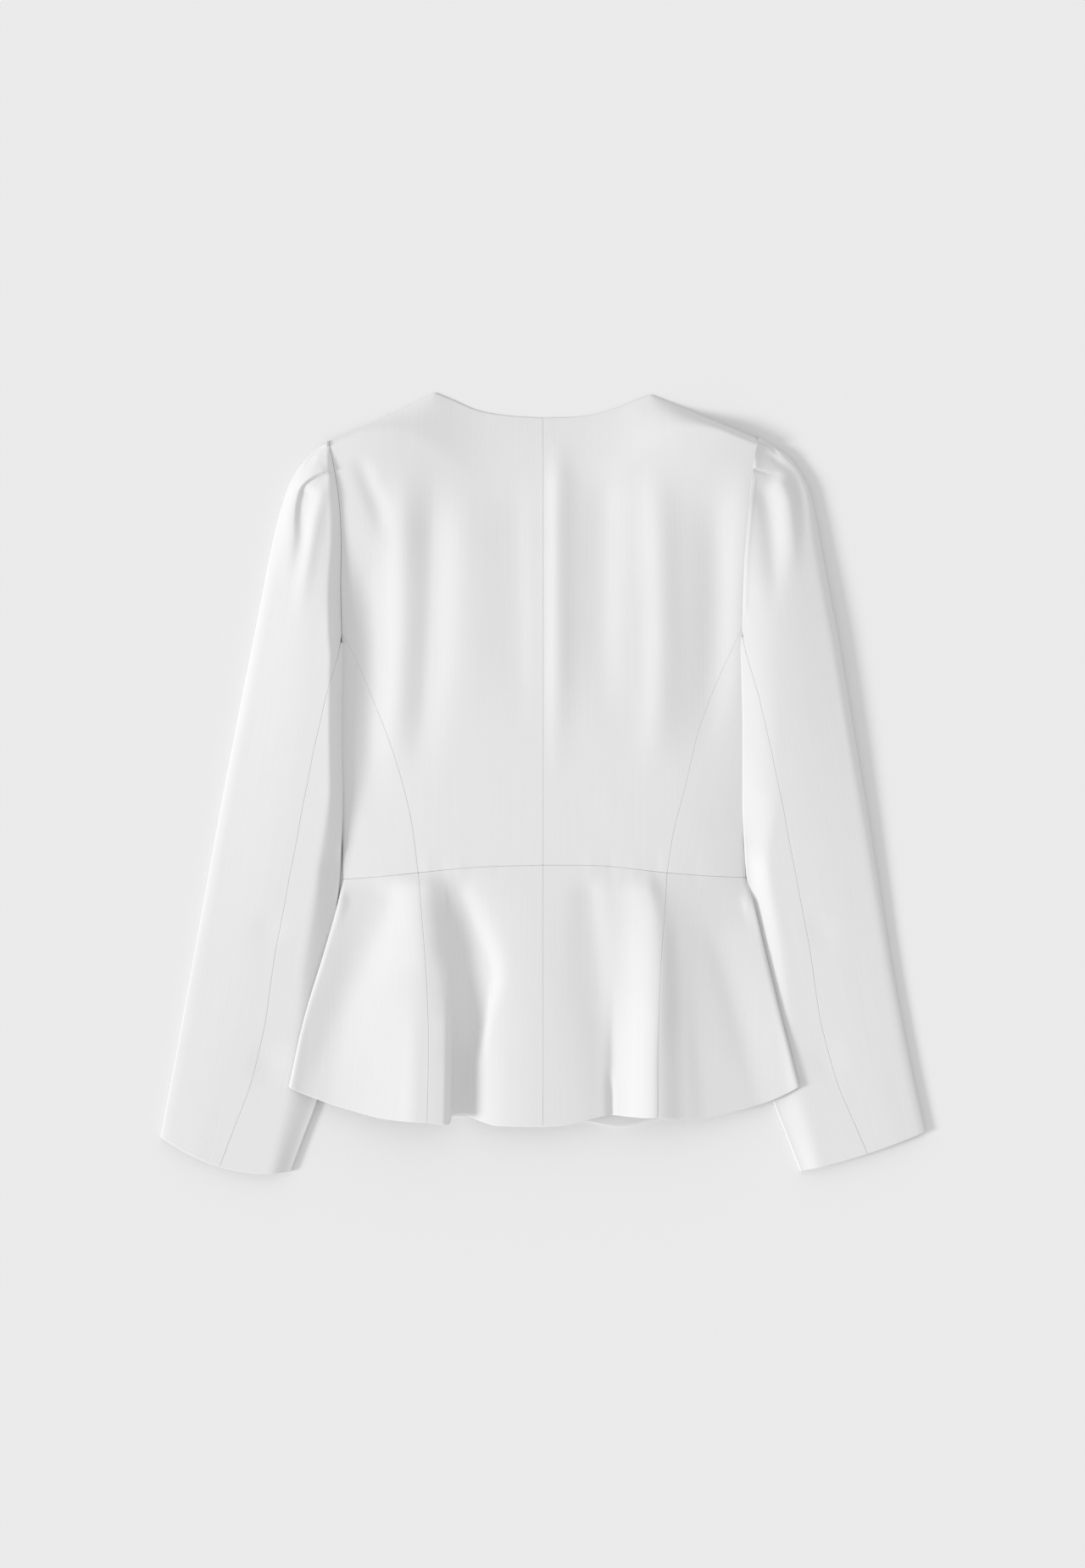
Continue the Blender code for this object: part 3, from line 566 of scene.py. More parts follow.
# Where a change of the sleeve begins, and the run over which it takes place
FREE_FROM = {"left": (70.0, -130.0), "right": (10.0, -85.0)}  # down, as the inner edge leaves the bodice
SOFTENS = (10.0, -75.0)             # down the sleeve, from a tight inner roll to a soft one
ON_BODY_INWARDS = (40.0, -24.0)     # in from beyond the side seam, to where the sleeve lies on the bodice
ON_BODY_DOWN = (138.0, -18.0)       # the same down from the underarm
ON_BODY_UP = (-78.0, 26.0)          # the same up from the waist

SLEEVE = {
    "left": {
        "head": [(185.6, 294.8), (192, 291.3), (202.2, 282.5), (215.4, 265), (225.6, 238.7),
                 (234.3, 203.7), (242.4, 162.8), (249.5, 127)],
        "outer": [(249.5, 127), (276.7, -12.4), (297.8, -129.2), (319, -246), (330, -304.4)],
        "inner": [(173.8, 127), (172.4, 112), (172.8, 92), (173.4, 36.5), (172.8, -23.4), (176.2, -92),
                  (184, -160), (187, -225), (194.5, -273), (206, -304), (217.5, -334.3)],
    },
    "right": {
        "head": [(185.2, 298), (197.1, 290.8), (210.5, 282.1), (219.5, 271), (228, 256),
                 (234.5, 230), (240.6, 197.3), (254, 127)],
        "outer": [(254, 127), (283.2, -48), (304.4, -178.9), (321, -262), (329.5, -300)],
        "inner": [(170.8, 132), (169.5, 117), (169.9, 98), (170.8, 60), (171.4, -10), (175.4, -85),
                  (184, -150), (189, -225), (198.3, -274.5), (209.5, -304), (221.2, -334.3)],
    },
}

# How a sleeve fills out on its way down: columns by name, a row for each height of the outer edge
SLEEVE_COLUMNS = ("y", "crown", "outer_roll", "inner_roll", "back_seam", "front_seam", "bow")
SLEEVE_FILL = [
    (298, 4, 4, 4, 1.0, 1.0, 0),
    (291, 8, 7, 6, 1.0, 1.0, 0),
    (283, 10.5, 10, 9, 1.0, 1.0, 0),
    (265, 12.5, 20, 13, 1.0, 1.0, 0),
    (239, 13.5, 30, 15, 1.0, 1.0, 0),
    (204, 15, 38, 16, 1.0, 1.0, 0),
    (163, 17, 46, 18, 1.0, 1.0, 0),
    (127, 18, 52, 18, 1.0, 1.0, 0),
    (75, 18, 60, 18, 0.84, 0.88, 0),
    (31, 16.5, 64, 18, 0.745, 0.84, 0),
    (-12, 14.5, 66, 19, 0.675, 0.82, 0),
    (-71, 11.5, 64, 21, 0.62, 0.80, 0),
    (-129, 9, 60, 24, 0.595, 0.80, 0),
    (-188, 7.5, 54, 28, 0.57, 0.80, 2),
    (-246, 7, 46, 26, 0.525, 0.80, 5),
    (-304, 6.5, 34, 18, 0.46, 0.80, 12),
]

CREASE_MARGIN = 2.5                 # width beside the inner edge over which creases fade out
CREASES_IN = 1.6                    # above 1 the creases reach into the outer roll

# Pleats and creases of the sleeves, in the same columns as the back's
SLEEVE_CREASES = {
    "left": [
        ([(-184, 291), (-194, 287.6), (-201.5, 281.6), (-208, 271), (-213, 258)], 1.2, 4.5,
         (2.2, 2.2, 1.4), (0, 0.5)),
        ([(-183, 290), (-194, 286), (-200.5, 280), (-207, 269.6)], 1.1, 0.9, -1.4, (0, 0.5)),
        ([(-179, 269), (-192, 265.5), (-201, 261), (-208.7, 254), (-212.5, 243), (-216, 207), (-224, 163)],
         (1.2, 1.2, 4, 8, 10), (8, 11, 12, 12, 12), (2.4, 3.8, 3.8, 3.0, 1.6), (0.1, 0.4)),
        ([(-179, 267.4), (-192, 264), (-201, 259.5), (-208, 252)], 1.3, 0.9, -1.1, (0, 0.4)),
        ([(-202, 257), (-206.5, 240), (-210, 205), (-216, 165)], 8, 7, -2.0, (0.1, 0.5)),
        ([(-186, 262), (-192, 242), (-199, 211), (-205, 176), (-211, 130)], 7, 7,
         (2.4, 2.4, 1.8), (0.15, 0.5)),
        ([(-182, 245), (-181, 205), (-181, 160), (-182, 130)], 5, 7, -0.8, (0.3, 0.3)),
        ([(-252, -112), (-222, -140)], 14, 16, -0.9, (0.5, 0.5)),
        ([(-258, -232), (-218, -252)], 16, 14, -1.3, (0.5, 0.5)),
    ],
    "right": [
        ([(184, 293.5), (194, 291), (201, 286.5), (209, 279)], 6, 1.2, 1.4, (0, 0.5)),
        ([(184, 292), (194, 289.8), (200, 285.4), (207, 278.5)], 0.9, 0.9, -1.3, (0, 0.5)),
        ([(179, 271), (187, 268.4), (197, 267), (205, 266.6)], 8, 1.2, 1.2, (0, 0.5)),
        ([(179, 270), (187, 267.3), (197, 265.9), (205, 265.4)], 0.9, 1.0, -1.3, (0, 0.5)),
        ([(190, 287), (203, 277), (214, 268), (222, 246), (228, 205)], 5, 5,
         (-2.4, -2.2, -1.4), (0.15, 0.5)),
        ([(198, 265), (208, 248), (213, 220), (213, 165)], 7, 9, (2.6, 2.4, 1.6), (0.12, 0.5)),
        ([(186, 262), (193, 232), (198, 180), (197, 130)], 8, 8, (-2.0, -1.8, -1.2), (0.15, 0.5)),
        ([(182.5, 268), (179.5, 240), (175.4, 192), (173.6, 140)], 1.4, 1.8, 0.4, (0.1, 0.1)),
        ([(254, -116), (224, -140)], 16, 16, -0.6, (0.5, 0.5)),
        ([(262, -232), (224, -250)], 16, 16, -0.8, (0.5, 0.5)),
    ],
}


def sleeve_value(name, outer_y):
    """One column of the sleeve's table, read at a height of its outer edge."""
    table = np.array(SLEEVE_FILL, float)[::-1]
    return np.interp(outer_y, table[:, 0], table[:, SLEEVE_COLUMNS.index(name)])


def inner_fold_x(side, y):
    """Distance from the centre to a sleeve's inner edge, at a height on the page."""
    points = curve_through(SLEEVE[side]["inner"])[::-1]
    return np.interp(y, points[:, 1], points[:, 0])


def sleeve_low(side, x, y):
    """Underside of a sleeve: on the table, or on the edge of the bodice where it lies over it."""
    seam = np.interp(y, [p[1] for p in SIDE_SEAM], [p[0] for p in SIDE_SEAM])
    over = step(np.abs(x) - seam, ON_BODY_INWARDS)
    return SLEEVE_ON_BODY * over * step(y, ON_BODY_DOWN) * step(y, ON_BODY_UP)


def sleeve_face(side, outer, inner, share, upper):
    """Points on a sleeve's upper or lower face, share 0 at the outer edge and 1 at the inner edge."""
    read = {name: sleeve_value(name, outer[:, 1])[:, None] for name in SLEEVE_COLUMNS[1:]}
    width = np.linalg.norm(inner - outer, axis=1)[:, None]
    x = outer[:, :1] + (inner - outer)[:, :1] * share
    y = outer[:, 1:] + (inner - outer)[:, 1:] * share
    y = y - read["bow"] * CUFF_BOW[side] * 4.0 * share * (1.0 - share)
    low = sleeve_low(side, x, y)
    if not upper:
        return np.dstack([x, y, low])
    near, from_inner = share * width, (1.0 - share) * width
    outer_rise = EDGE_SHARE[side] * rounded(near / EDGE_ROLL[side])
    outer_rise += (1.0 - EDGE_SHARE[side]) * np.sin(0.5 * np.pi * np.minimum(near / read["outer_roll"], 1.0))
    outer_rise = 1.0 - (1.0 - outer_rise) * (1.0 - share**4)
    soft = step(outer[:, 1:], SOFTENS)
    roll = read["inner_roll"] * (INNER_ROLL[side] + (1.0 - INNER_ROLL[side]) * soft)
    reach = np.clip(from_inner / roll, 0.0, 1.0)
    inner_rise = (1.0 - soft) * np.sin(0.5 * np.pi * reach) + soft * smooth_step(reach)
    sewn_edge = back_top(inner[:, 0], inner[:, 1])[:, None] + SEAM_LIFT[side]
    free = step(inner[:, 1:], FREE_FROM[side])
    inner_z = sewn_edge * (1.0 - free) + (low + FOLD) * free
    crest = FOLD + CROWN[side] * read["crown"] * (OUTER_CROWN[side] + (1.0 - OUTER_CROWN[side]) * share)
    shape = crease_height(x, y, SLEEVE_CREASES[side]) * np.minimum(outer_rise * CREASES_IN, 1.0)
    full = inner_z + (crest - inner_z) * inner_rise + shape * smooth_step(from_inner / CREASE_MARGIN)
    least = np.minimum(low + LEAST_FULL, inner_z)
    return np.dstack([x, y, np.maximum(FOLD + (full - FOLD) * outer_rise, least)])


ROLL_STEPS = (0.0, 0.12, 0.45, 1.0, 1.9, 3.1, 4.6, 6.4, 8.6)    # places of the columns in a fold's roll
CROWDED = (0.3, 0.25)               # shares of a narrow row that crowded columns take at its two ends
LEAST_ROOM = 0.3                    # least width that the columns of a row spread over
PLEATED = 0.42                      # share of the head with the pleats, whose rows are close
HEAD_ROWS = np.concatenate([np.linspace(0.0, PLEATED, 62, endpoint=False), np.linspace(PLEATED, 1.0, 44)])
TUBE_LENGTH = 440.0                 # about the length below the head, for its rows
TUBE_ROWS = spaced(TUBE_LENGTH, spacing=3.0, close_start=False)
SLEEVE_GAP = SEAM_RIM + SEAM_GAP
HEAD_GAP = 0.3                      # share of that gap in the head, which is one piece all round
NOSE_DEPTH = 1.1                    # how far the rounded edge of a fold stands out
NOSE_SHARE = 0.2                    # the same at most, as a share of a narrow row
NOSE_TURNS = (60.0, 30.0, 0.0, -30.0, -60.0)  # angles of the points round that edge
FACE_GRID = 1.4                     # column spacing on the upper face
BELOW_GRID = 4.0                    # the same on the lower face, which lies hidden
TOP_WIDTH = 80.0                    # about how wide each face of a top sleeve is, for its columns
TIP_RIM = 0.1                       # how far the upper end of a sleeve piece rounds over
SLEEVE_RIMS = {"bottom": TIP_RIM, "top": HEM_RIM, "left": SEAM_RIM, "right": SEAM_RIM}


def column_shares(width, total, near_fold, near_seam, spacing):
    """Distances for columns that crowd together towards the ends of rows of very different widths."""
    start = np.array(near_fold)[None] * np.minimum(1.0, CROWDED[0] * width / near_fold[-1])[:, None]
    end = np.array(near_seam)[None] * np.minimum(1.0, CROWDED[1] * width / near_seam[-1])[:, None]
    count = int(round((total - near_fold[-1] - near_seam[-1]) / spacing))
    t = np.linspace(0.0, 1.0, count + 1)[None]
    middle = start[:, -1:] + (width[:, None] - end[:, -1:] - start[:, -1:]) * t
    return np.concatenate([start[:, :-1], middle, (width[:, None] - end[:, :-1])[:, ::-1]], axis=1)


def from_fold(room, width, depth, total, steps, spacing):
    """Shares of the sleeve's width for the columns from a fold's rounded edge to the seam beyond it."""
    room = np.maximum(room, LEAST_ROOM)
    columns = column_shares(room, total, steps, CLOSE, spacing)
    return (depth + columns * (1.0 - depth / room[:, None])) / width[:, None]


def sleeve_edges(side):
    """Points of a sleeve's outer and inner edge, row by row down the head and then the tube."""
    head = curve_through(mirrored(side, SLEEVE[side]["head"]))
    outer = end_to_end(place_along(head, HEAD_ROWS),
                       place_along(curve_through(mirrored(side, SLEEVE[side]["outer"])), TUBE_ROWS))
    inner = end_to_end(place_along(line(side, "armhole"), HEAD_ROWS),
                       place_along(curve_through(mirrored(side, SLEEVE[side]["inner"])), TUBE_ROWS))
    return outer, inner


def nose(points_above, points_below, reach):
    """The rounded edge between the upper and the lower face, seen as a half turn outwards."""
    middle = 0.5 * (points_above + points_below)
    half = 0.5 * (points_above - points_below)
    out = []
    for turn in np.radians(NOSE_TURNS):
        point = middle + half * np.sin(turn)
        point[:, :2] += reach * np.cos(turn)
        out.append(point)
    return np.stack(out, axis=1)


for side in ("left", "right"):
    outer, inner = sleeve_edges(side)
    width = np.linalg.norm(inner - outer, axis=1)
    gap = np.where(np.arange(len(outer)) < len(HEAD_ROWS), HEAD_GAP, 1.0) * SLEEVE_GAP
    back_room = sleeve_value("back_seam", outer[:, 1]) * width - gap
    front_room = sleeve_value("front_seam", outer[:, 1]) * width - gap
    depth = np.minimum(NOSE_DEPTH, NOSE_SHARE * width)[:, None]
    above = from_fold(back_room, width, depth, TOP_WIDTH, ROLL_STEPS, FACE_GRID)
    below = from_fold(front_room, width, depth, TOP_WIDTH, ROLL_STEPS[::2], BELOW_GRID)
    upper = sleeve_face(side, outer, inner, above, upper=True)
    lower = sleeve_face(side, outer, inner, below, upper=False)
    edge = nose(upper[:, 0], lower[:, 0], (outer - inner) / width[:, None] * depth)
    grid = facing_up(side, np.concatenate([lower[:, ::-1], edge[:, ::-1], upper], axis=1))
    top_sleeve = cloth_piece("top_sleeve_cloth_" + side, grid, SLEEVE_RIMS, turned="top",
                             anchor=upper.shape[1] - 1 if side == "left" else -upper.shape[1])
    sewn(top_sleeve, "top_sleeve_" + side)

# The under sleeves
# The narrow inner pieces of the sleeves, of the same suiting, from the underarm to the cuff.
# Each closes its tube round the inner fold, between the back seam and the front seam below.

UNDER_TOP = len(HEAD_ROWS) + 1      # row where the piece begins, just below the underarm
UNDER_WIDTH = 40.0                  # about how wide its upper face is, for its columns
UNDER_BELOW = 30.0                  # the same of its lower face

for side in ("left", "right"):
    outer, inner = [edge[UNDER_TOP:] for edge in sleeve_edges(side)]
    width = np.linalg.norm(inner - outer, axis=1)
    back_room = (1.0 - sleeve_value("back_seam", outer[:, 1])) * width - SLEEVE_GAP
    front_room = (1.0 - sleeve_value("front_seam", outer[:, 1])) * width - SLEEVE_GAP
    depth = np.minimum(NOSE_DEPTH, NOSE_SHARE * np.minimum(back_room, front_room))[:, None]
    above = 1.0 - from_fold(back_room, width, depth, UNDER_WIDTH, ROLL_STEPS, GRID)
    below = 1.0 - from_fold(front_room, width, depth, UNDER_BELOW, ROLL_STEPS[::2], BELOW_GRID)
    upper = sleeve_face(side, outer, inner, above, upper=True)
    lower = sleeve_face(side, outer, inner, below, upper=False)
    edge = nose(upper[:, 0], lower[:, 0], (inner - outer) / width[:, None] * depth)
    grid = facing_up(side, np.concatenate([upper[:, ::-1], edge, lower], axis=1))
    under_sleeve = cloth_piece("under_sleeve_cloth_" + side, grid, SLEEVE_RIMS, turned="top",
                               anchor=-1 if side == "left" else 0)
    sewn(under_sleeve, "under_sleeve_" + side)

# The peplum's back
# Four flared panels below the waist seam, with deep soft flutes that open towards the hem.
# Two lie beside the centre back and two beside the side seams; the hem is turned up and pressed.

# The hem of the back peplum: x, y and height of the cloth's upper face, from side to side
HEM = {
    "side_left": [(-219, -261.3, 15.6), (-207, -267.3, 14.6), (-194.4, -272.1, 14.2), (-183, -276.3, 14.6),
                  (-172, -279.6, 16.0), (-158, -283.4, 18.6), (-142.4, -287.4, 22.2), (-125, -289.6, 26.6),
                  (-113, -290.5, 29.6), (-99.3, -291.1, 30.0)],
    "back_left": [(-99.3, -291.1, 30.0), (-90, -292.2, 29.6), (-84, -292.9, 28.6), (-80.8, -292.6, 24.6),
                  (-79.2, -290.0, 17.4), (-78.4, -286.8, 11.6), (-75, -285.0, 8.8), (-69, -284.7, 8.4),
                  (-62, -288.0, 10.6), (-56, -290.4, 13.6), (-50, -292.2, 16.2), (-43.8, -294.2, 18.2),
                  (-36, -294.8, 20.0), (-28, -295.1, 21.0), (-15, -295.3, 21.8), (0, -295.4, 21.8)],
    "back_right": [(0, -295.4, 21.8), (15, -294.6, 21.2), (29.9, -292, 20.2), (44, -288, 18.6),
                   (55, -286.2, 17.0), (59, -285.8, 15.6), (63, -285.9, 16.2), (71, -286.6, 19.0),
                   (80, -287, 23.6), (89, -287.3, 27.6), (94, -287, 28.8), (97, -286.8, 28.8),
                   (98.6, -286.5, 28.4)],
    "side_right": [(98.6, -286.5, 28.4), (103, -287.6, 27.7), (108, -287.9, 26.4), (115, -288.2, 24.4),
                   (125, -288.4, 21.6), (136, -288.3, 18.6), (150, -286.2, 16.6), (165, -282.6, 14.8),
                   (180, -278.6, 13.6), (195.6, -273.6, 13.0), (209, -267.6, 13.0), (220.5, -261.3, 13.4)],
}

# The seam between two panels and the edge at the side, seen from above and walking down
PEPLUM = {
    "left": {"seam": [(107.5, -77.4), (104.5, -110), (99.3, -180), (98.2, -215), (99.3, -291.1)],
             "side": [(173, -83.2), (177.4, -104.4), (186.4, -136.5), (206.2, -203.7), (219, -261.3)]},
    "right": {"seam": [(106.6, -77.4), (105.1, -103), (100.5, -164), (99, -215), (98.6, -286.5)],
              "side": [(175, -81.8), (180.5, -100), (190, -140), (205.5, -203.7), (220.5, -261.3)]},
}
PEPLUM_LENGTH = 215.0               # about how long a panel is, for its rows
HEM_GRID = 1.9                      # column spacing along the hem
HEM_WEIGHTS = (1.0, 0.3, 0.25, 0.0)     # how far x, y and the two heights spread the columns at the waist
FLUTE_GROWTH = 2.6                  # above 1 the flutes open early below the waist
BROAD = 11.0                        # how far the sharp shapes of the hem spread out higher up
BROAD_REACH = 45                    # millimetres on either side that count for this
SHARP_FROM = (0.60, -0.40)          # share of the way up to the waist where they begin, and their run down
LEAST_AIR = 2.5 * CLEAR             # air between the peplum and the front below it
SOFT_LANDING = 0.6                  # how softly the peplum comes down to that
SECTION_SLANT = 14.0                # how much lower a sleeve's section lies at its inner edge
UP_SLEEVE = (-20.0, 19.0)           # outwards across a sleeve's inner edge, where the cloth climbs it
ON_SLEEVE_DOWN = (-83.5, -22.0)     # down from the waist, to where the peplum lies on the sleeve

# Creases of the peplum, walking down, in the same columns as the back's
PEPLUM_CREASES = [
    ([(-128, -78), (-138, -110), (-150, -140), (-172, -190), (-188, -235), (-200, -268)],
     (14, 16, 18, 20, 22, 22), (22, 24, 22, 18, 14, 12), (-3, -4, -4.2, -3.4, -2.2, -0.6), (0.12, 0)),
    ([(-103, -76), (-100, -115), (-98, -170)], (12, 15, 16), (18, 22, 22), (2.4, 3, 1.8), (0.15, 0.3)),
    ([(-82, -76), (-70, -102), (-58, -130), (-47, -163), (-52, -201), (-58, -243)],
     (10, 11, 11, 8, 5, 4), (15, 20, 23, 20, 13, 9), (-1.6, -2.8, -4.0, -4.6, -4.2, -1.0), (0.15, 0.1)),
    ([(-86, -95), (-82, -130), (-79, -165), (-77, -205), (-77, -240)], 11, 14,
     (0, 1.0, 3.0, 3.2, 0.5), (0.2, 0.2)),
    ([(38, -76), (42, -130), (47, -190), (55, -240), (60, -285)],
     (9, 12, 13, 10, 7), (12, 18, 20, 18, 14), (-1.8, -2.4, -2.2, -1.4, -0.5), (0.1, 0)),
    ([(56, -240), (58.5, -265), (59.5, -290)], 2.2, 4, -1.3, (0.5, 0)),
    ([(86, -76), (94, -110), (97, -150), (98, -190), (98, -250)], (9, 12, 13, 12), (18, 20, 18, 14),
     (3.4, 3.6, 2.6, 0.8), (0.1, 0.3)),
    ([(113, -110), (115, -200), (118, -285)], (7, 9, 9), (6, 8, 8), (-0.3, -0.6, -0.8), (0.2, 0)),
    ([(140, -110), (158, -165), (172, -215), (184, -262)], 16, 12, (-0.8, -1.4, -1.6, -1.0), (0.2, 0)),
]


def broad_hem():
    """The hem from side to side, and its heights evened out along it."""
    names = ("side_left", "back_left", "back_right", "side_right")
    whole = end_to_end(*[curve_through(HEM[name]) for name in names])
    run = lengths_along(whole[:, :2])
    even = np.arange(0.0, run[-1], 1.0)
    heights = np.pad(np.interp(even, run, whole[:, 2]), BROAD_REACH, mode="edge")
    weight = np.exp(-0.5 * (np.arange(-BROAD_REACH, BROAD_REACH + 1) / BROAD) ** 2)
    return whole, np.interp(run, even, np.convolve(heights, weight / weight.sum(), mode="valid"))


def sleeve_rise(side, x, y):
    """Height of a sleeve's upper face above its folded edge, near that edge."""
    away = np.abs(x) - inner_fold_x(side, y)
    crown = CROWN[side] * sleeve_value("crown", y + SECTION_SLANT)
    return crown * smooth_step(away / sleeve_value("inner_roll", y + SECTION_SLANT))


def front_lift(x, y):
    """Underside of the front pieces: flat on the table, lifted where the peplum lies on a sleeve."""
    lift = np.zeros_like(x)
    for side in ("left", "right"):
        climb = step(np.abs(x) - inner_fold_x(side, y), UP_SLEEVE) * (FOLD + 2 * CLEAR)
        over = (climb + sleeve_rise(side, x, y)) * step(y, ON_SLEEVE_DOWN)
        lift = np.where(np.sign(x) == sign_of(side), over, lift)
    return lift


def peplum_panel(side, name, waist_from, waist_to, centre_edge, outer_edge):
    """Grid of a peplum panel, from the hem's own table of heights up to the waist seam."""
    whole, broad = broad_hem()
    hem = curve_through(HEM[name])
    start = int(np.argmin(np.linalg.norm(whole - hem[0], axis=1)))
    hem = np.column_stack([hem, broad[start:start + len(hem)]])
    if side == "left":
        hem = hem[::-1]
    hem = place_along(hem, spaced(lengths_along(hem)[-1], spacing=HEM_GRID))
    run = lengths_along(hem * HEM_WEIGHTS)
    top = part_of(curve_through(mirrored(side, BODICE[side]["waist"])), waist_from, waist_to, run / run[-1])
    down = spaced(PEPLUM_LENGTH)
    plan = patch(hem[:, :2], top, place_along(centre_edge, down), place_along(outer_edge, down))
    plan = drawn_in(drawn_in(plan, ("left", "right")), ("top",), SEAM_GAP + WAIST_RIM)
    plan = drawn_in(plan, ("bottom",), HEM_RIM)
    growth = 1.0 - down[:, None] ** FLUTE_GROWTH
    x, y = plan[..., 0], plan[..., 1]
    sharp = step(down[:, None], SHARP_FROM)
    waist_z = (back_top(x[-1], y[-1]) - crease_height(x[-1], y[-1], WAIST_RIPPLES))[None]
    hem_z = hem[None, :, 3] + (hem[None, :, 2] - hem[None, :, 3]) * sharp
    creases = crease_height(x, y, PEPLUM_CREASES) + crease_height(x, y, WAIST_RIPPLES)
    least = front_lift(x, y) + LAYERS + LEAST_AIR
    above = waist_z * (1.0 - growth) + hem_z * growth + creases - least
    z = least + 0.5 * (above + np.sqrt(above**2 + SOFT_LANDING))
    grid = np.dstack([x, y, z])
    return facing_up(side, side_rolled(grid, front_lift(x, y)) if name.startswith("side") else grid)


for side in ("left", "right"):
    seam = curve_through(mirrored(side, PEPLUM[side]["seam"]))[::-1]
    hem_y = HEM["back_" + side][-1 if side == "left" else 0][1]
    centre = curve_through([(0.0, hem_y), (0.0, BODICE[side]["waist"][0][1])])
    grid = peplum_panel(side, "back_" + side, 0.0, waist_share(side), centre, seam)
    edges = rim_widths(side, bottom=HEM_RIM, top=WAIST_RIM, centre=SEAM_RIM, outer=SEAM_RIM)
    panel = cloth_piece("peplum_back_panel_" + side, grid, edges, turned="bottom",
                        anchor=-1 if side == "left" else 0)
    sewn(panel, "peplum_back_" + side)

for side in ("left", "right"):
    seam = curve_through(mirrored(side, PEPLUM[side]["seam"]))[::-1]
    edge = curve_through(mirrored(side, PEPLUM[side]["side"]))[::-1]
    grid = peplum_panel(side, "side_" + side, waist_share(side), 1.0, seam, edge)
    edges = rim_widths(side, bottom=HEM_RIM, top=WAIST_RIM, centre=SEAM_RIM, outer=HEM_RIM)
    panel = cloth_piece("peplum_side_back_panel_" + side, grid, edges, turned="bottom",
                        anchor=-1 if side == "left" else 0)
    sewn(panel, "peplum_side_back_" + side)

# The fronts
# The front bodice and its peplum lie face down on the table, plain, meeting edge to edge at the centre.
# Only a crescent of the right peplum front shows below the raised flute of the back hem.

FRONT_NECK = [(0, 232), (40, 240), (72, 275), (88, 318)]
FRONT_HEM = {
    "left": [(0, -291), (45, -289), (100, -287), (150, -282), (219, -261.3)],
    "right": [(0, -291), (38, -292.5), (66, -296.8), (94, -291), (150, -282), (220.5, -261.3)],
}
FRONT_GRID = 3.4                    # mesh spacing of the front bodice, which lies hidden
PEPLUM_FRONT_GRID = 3.2             # the same of its peplum


def facing_down(side, grid):
    """Like facing_up, for cloth whose outer face lies on the table."""
    return grid if side == "left" else grid[:, ::-1]


for side in ("left", "right"):
    outer = end_to_end(side_seam(side), underarm(side), line(side, "armhole")[::-1])
    down = spaced(lengths_along(outer)[-1], spacing=FRONT_GRID)
    neck = curve_through(mirrored(side, FRONT_NECK) + [mirrored(side, BODICE[side]["shoulder"])[0]])
    shoulder = line(side, "shoulder")
    along_neck = spaced(lengths_along(neck)[-1], spacing=FRONT_GRID, close_end=False)
    along_shoulder = spaced(lengths_along(shoulder)[-1], spacing=FRONT_GRID, close_start=False)
    over = end_to_end(place_along(neck, along_neck), place_along(shoulder, along_shoulder))
    bottom = place_along(line(side, "waist"), mean_shares(over, over))
    centre = np.stack([0.0 * down, bottom[0][1] + (over[0][1] - bottom[0][1]) * down], axis=1)
    plan = patch(bottom, over, centre, place_along(outer, down))
    plan = drawn_in(plan, ("bottom", "top", "left", "right"))
    grid = facing_down(side, with_height(plan, front_lift))
    edges = {"bottom": SEAM_RIM, "top": HEM_RIM, "left": SEAM_RIM, "right": SEAM_RIM}
    front = cloth_piece("front_panel_" + side, grid, edges)
    sewn(front, "front_" + side)

for side in ("left", "right"):
    edge = curve_through(mirrored(side, PEPLUM[side]["side"]))[::-1]
    hem = curve_through(mirrored(side, FRONT_HEM[side]))
    shares = spaced(lengths_along(hem)[-1], spacing=PEPLUM_FRONT_GRID)
    waist = place_along(line(side, "waist"), shares)
    down = spaced(PEPLUM_LENGTH, spacing=PEPLUM_FRONT_GRID)
    hem = place_along(hem, shares)
    centre = np.stack([0.0 * down, hem[0][1] + (waist[0][1] - hem[0][1]) * down], axis=1)
    plan = patch(hem, waist, centre, place_along(edge, down))
    plan = drawn_in(drawn_in(plan, ("left", "right", "top")), ("bottom",), HEM_RIM)
    grid = facing_down(side, with_height(plan, front_lift))
    edges = {"bottom": HEM_RIM, "top": SEAM_RIM, "left": SEAM_RIM, "right": SEAM_RIM}
    front = cloth_piece("peplum_front_panel_" + side, grid, edges, turned="bottom")
    sewn(front, "peplum_front_" + side)

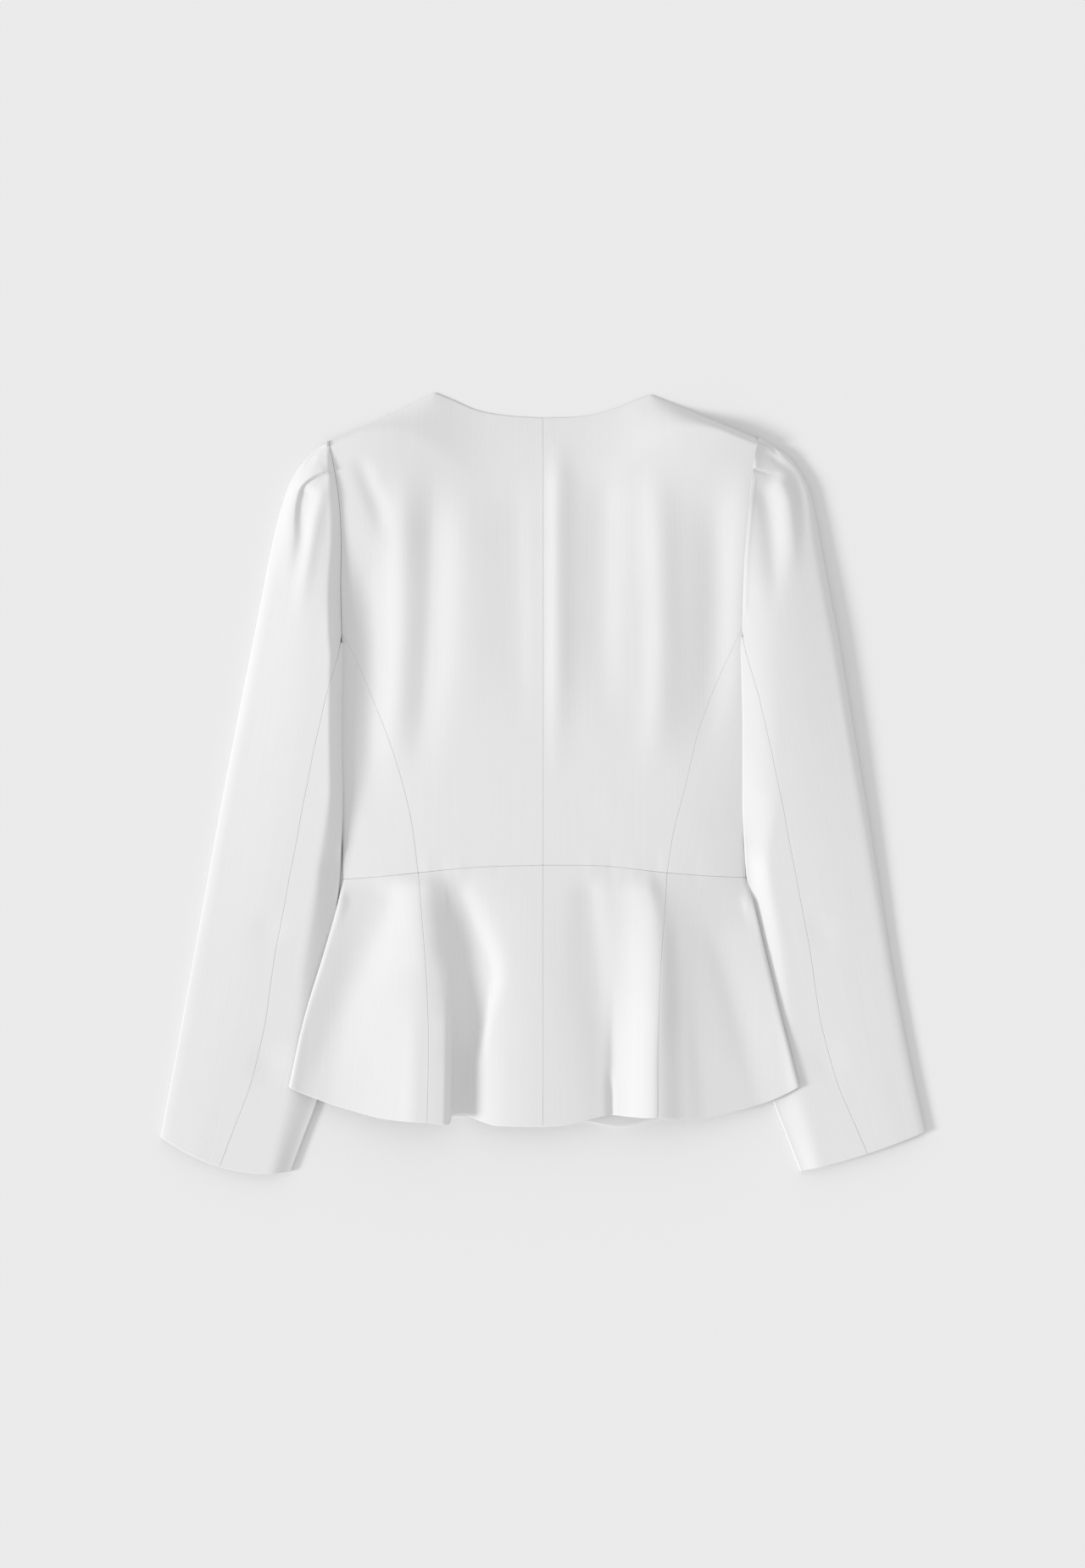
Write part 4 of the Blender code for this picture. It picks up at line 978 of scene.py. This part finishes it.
# The floor, the light and the camera
# A plain pale floor, a soft low key light from the left and an even fill from all round.
# The camera looks straight down with a long lens, as in the photograph.

FLOOR_SIZE = 12.0                   # metres, as the places and heights below
FLOOR_Z = -0.0001                   # just below the cloth that lies on it
FLOOR_SHADE = (0.80, 0.80, 0.80, 1.0)
CAMERA_HEIGHT = 3.195
CENTRE = (-0.0007, -0.0011)         # the point below the camera
LENS = 85.0                         # millimetres, as the width of the film
FILM_WIDTH = 36.0
KEY_AZIMUTH = 193.0                 # degrees from +X to where the light comes from
KEY_HEIGHT = 26.0                   # degrees above the floor
KEY_SOFTNESS = 15.0                 # degrees across the lamp
KEY_STRENGTH = 2.03
FILL_STRENGTH = 0.75

bpy.ops.mesh.primitive_plane_add(size=FLOOR_SIZE, location=(0.0, 0.0, FLOOR_Z))
floor = bpy.context.object
floor.name = "floor"
paper = bpy.data.materials.new("pale_floor")
paper.use_nodes = True
finish = paper.node_tree.nodes["Principled BSDF"].inputs
finish["Base Color"].default_value = FLOOR_SHADE
finish["Roughness"].default_value = 0.95
finish["Specular IOR Level"].default_value = 0.1
floor.data.materials.append(paper)

key = bpy.data.lights.new("key", "SUN")
key.energy = KEY_STRENGTH
key.angle = np.radians(KEY_SOFTNESS)
key_light = bpy.data.objects.new("key", key)
bpy.context.scene.collection.objects.link(key_light)
key_light.rotation_euler = (np.radians(90.0 - KEY_HEIGHT), 0.0, np.radians(KEY_AZIMUTH + 90.0))

world = bpy.data.worlds.new("even_fill")
world.use_nodes = True
world.node_tree.nodes["Background"].inputs["Color"].default_value = (1.0, 1.0, 1.0, 1.0)
world.node_tree.nodes["Background"].inputs["Strength"].default_value = FILL_STRENGTH
bpy.context.scene.world = world
bpy.context.scene.view_settings.view_transform = "Standard"

camera = bpy.data.objects.new("camera", bpy.data.cameras.new("camera"))
camera.data.lens = LENS
camera.data.sensor_width = FILM_WIDTH
camera.location = (CENTRE[0], CENTRE[1], CAMERA_HEIGHT)
bpy.context.scene.collection.objects.link(camera)
bpy.context.scene.camera = camera
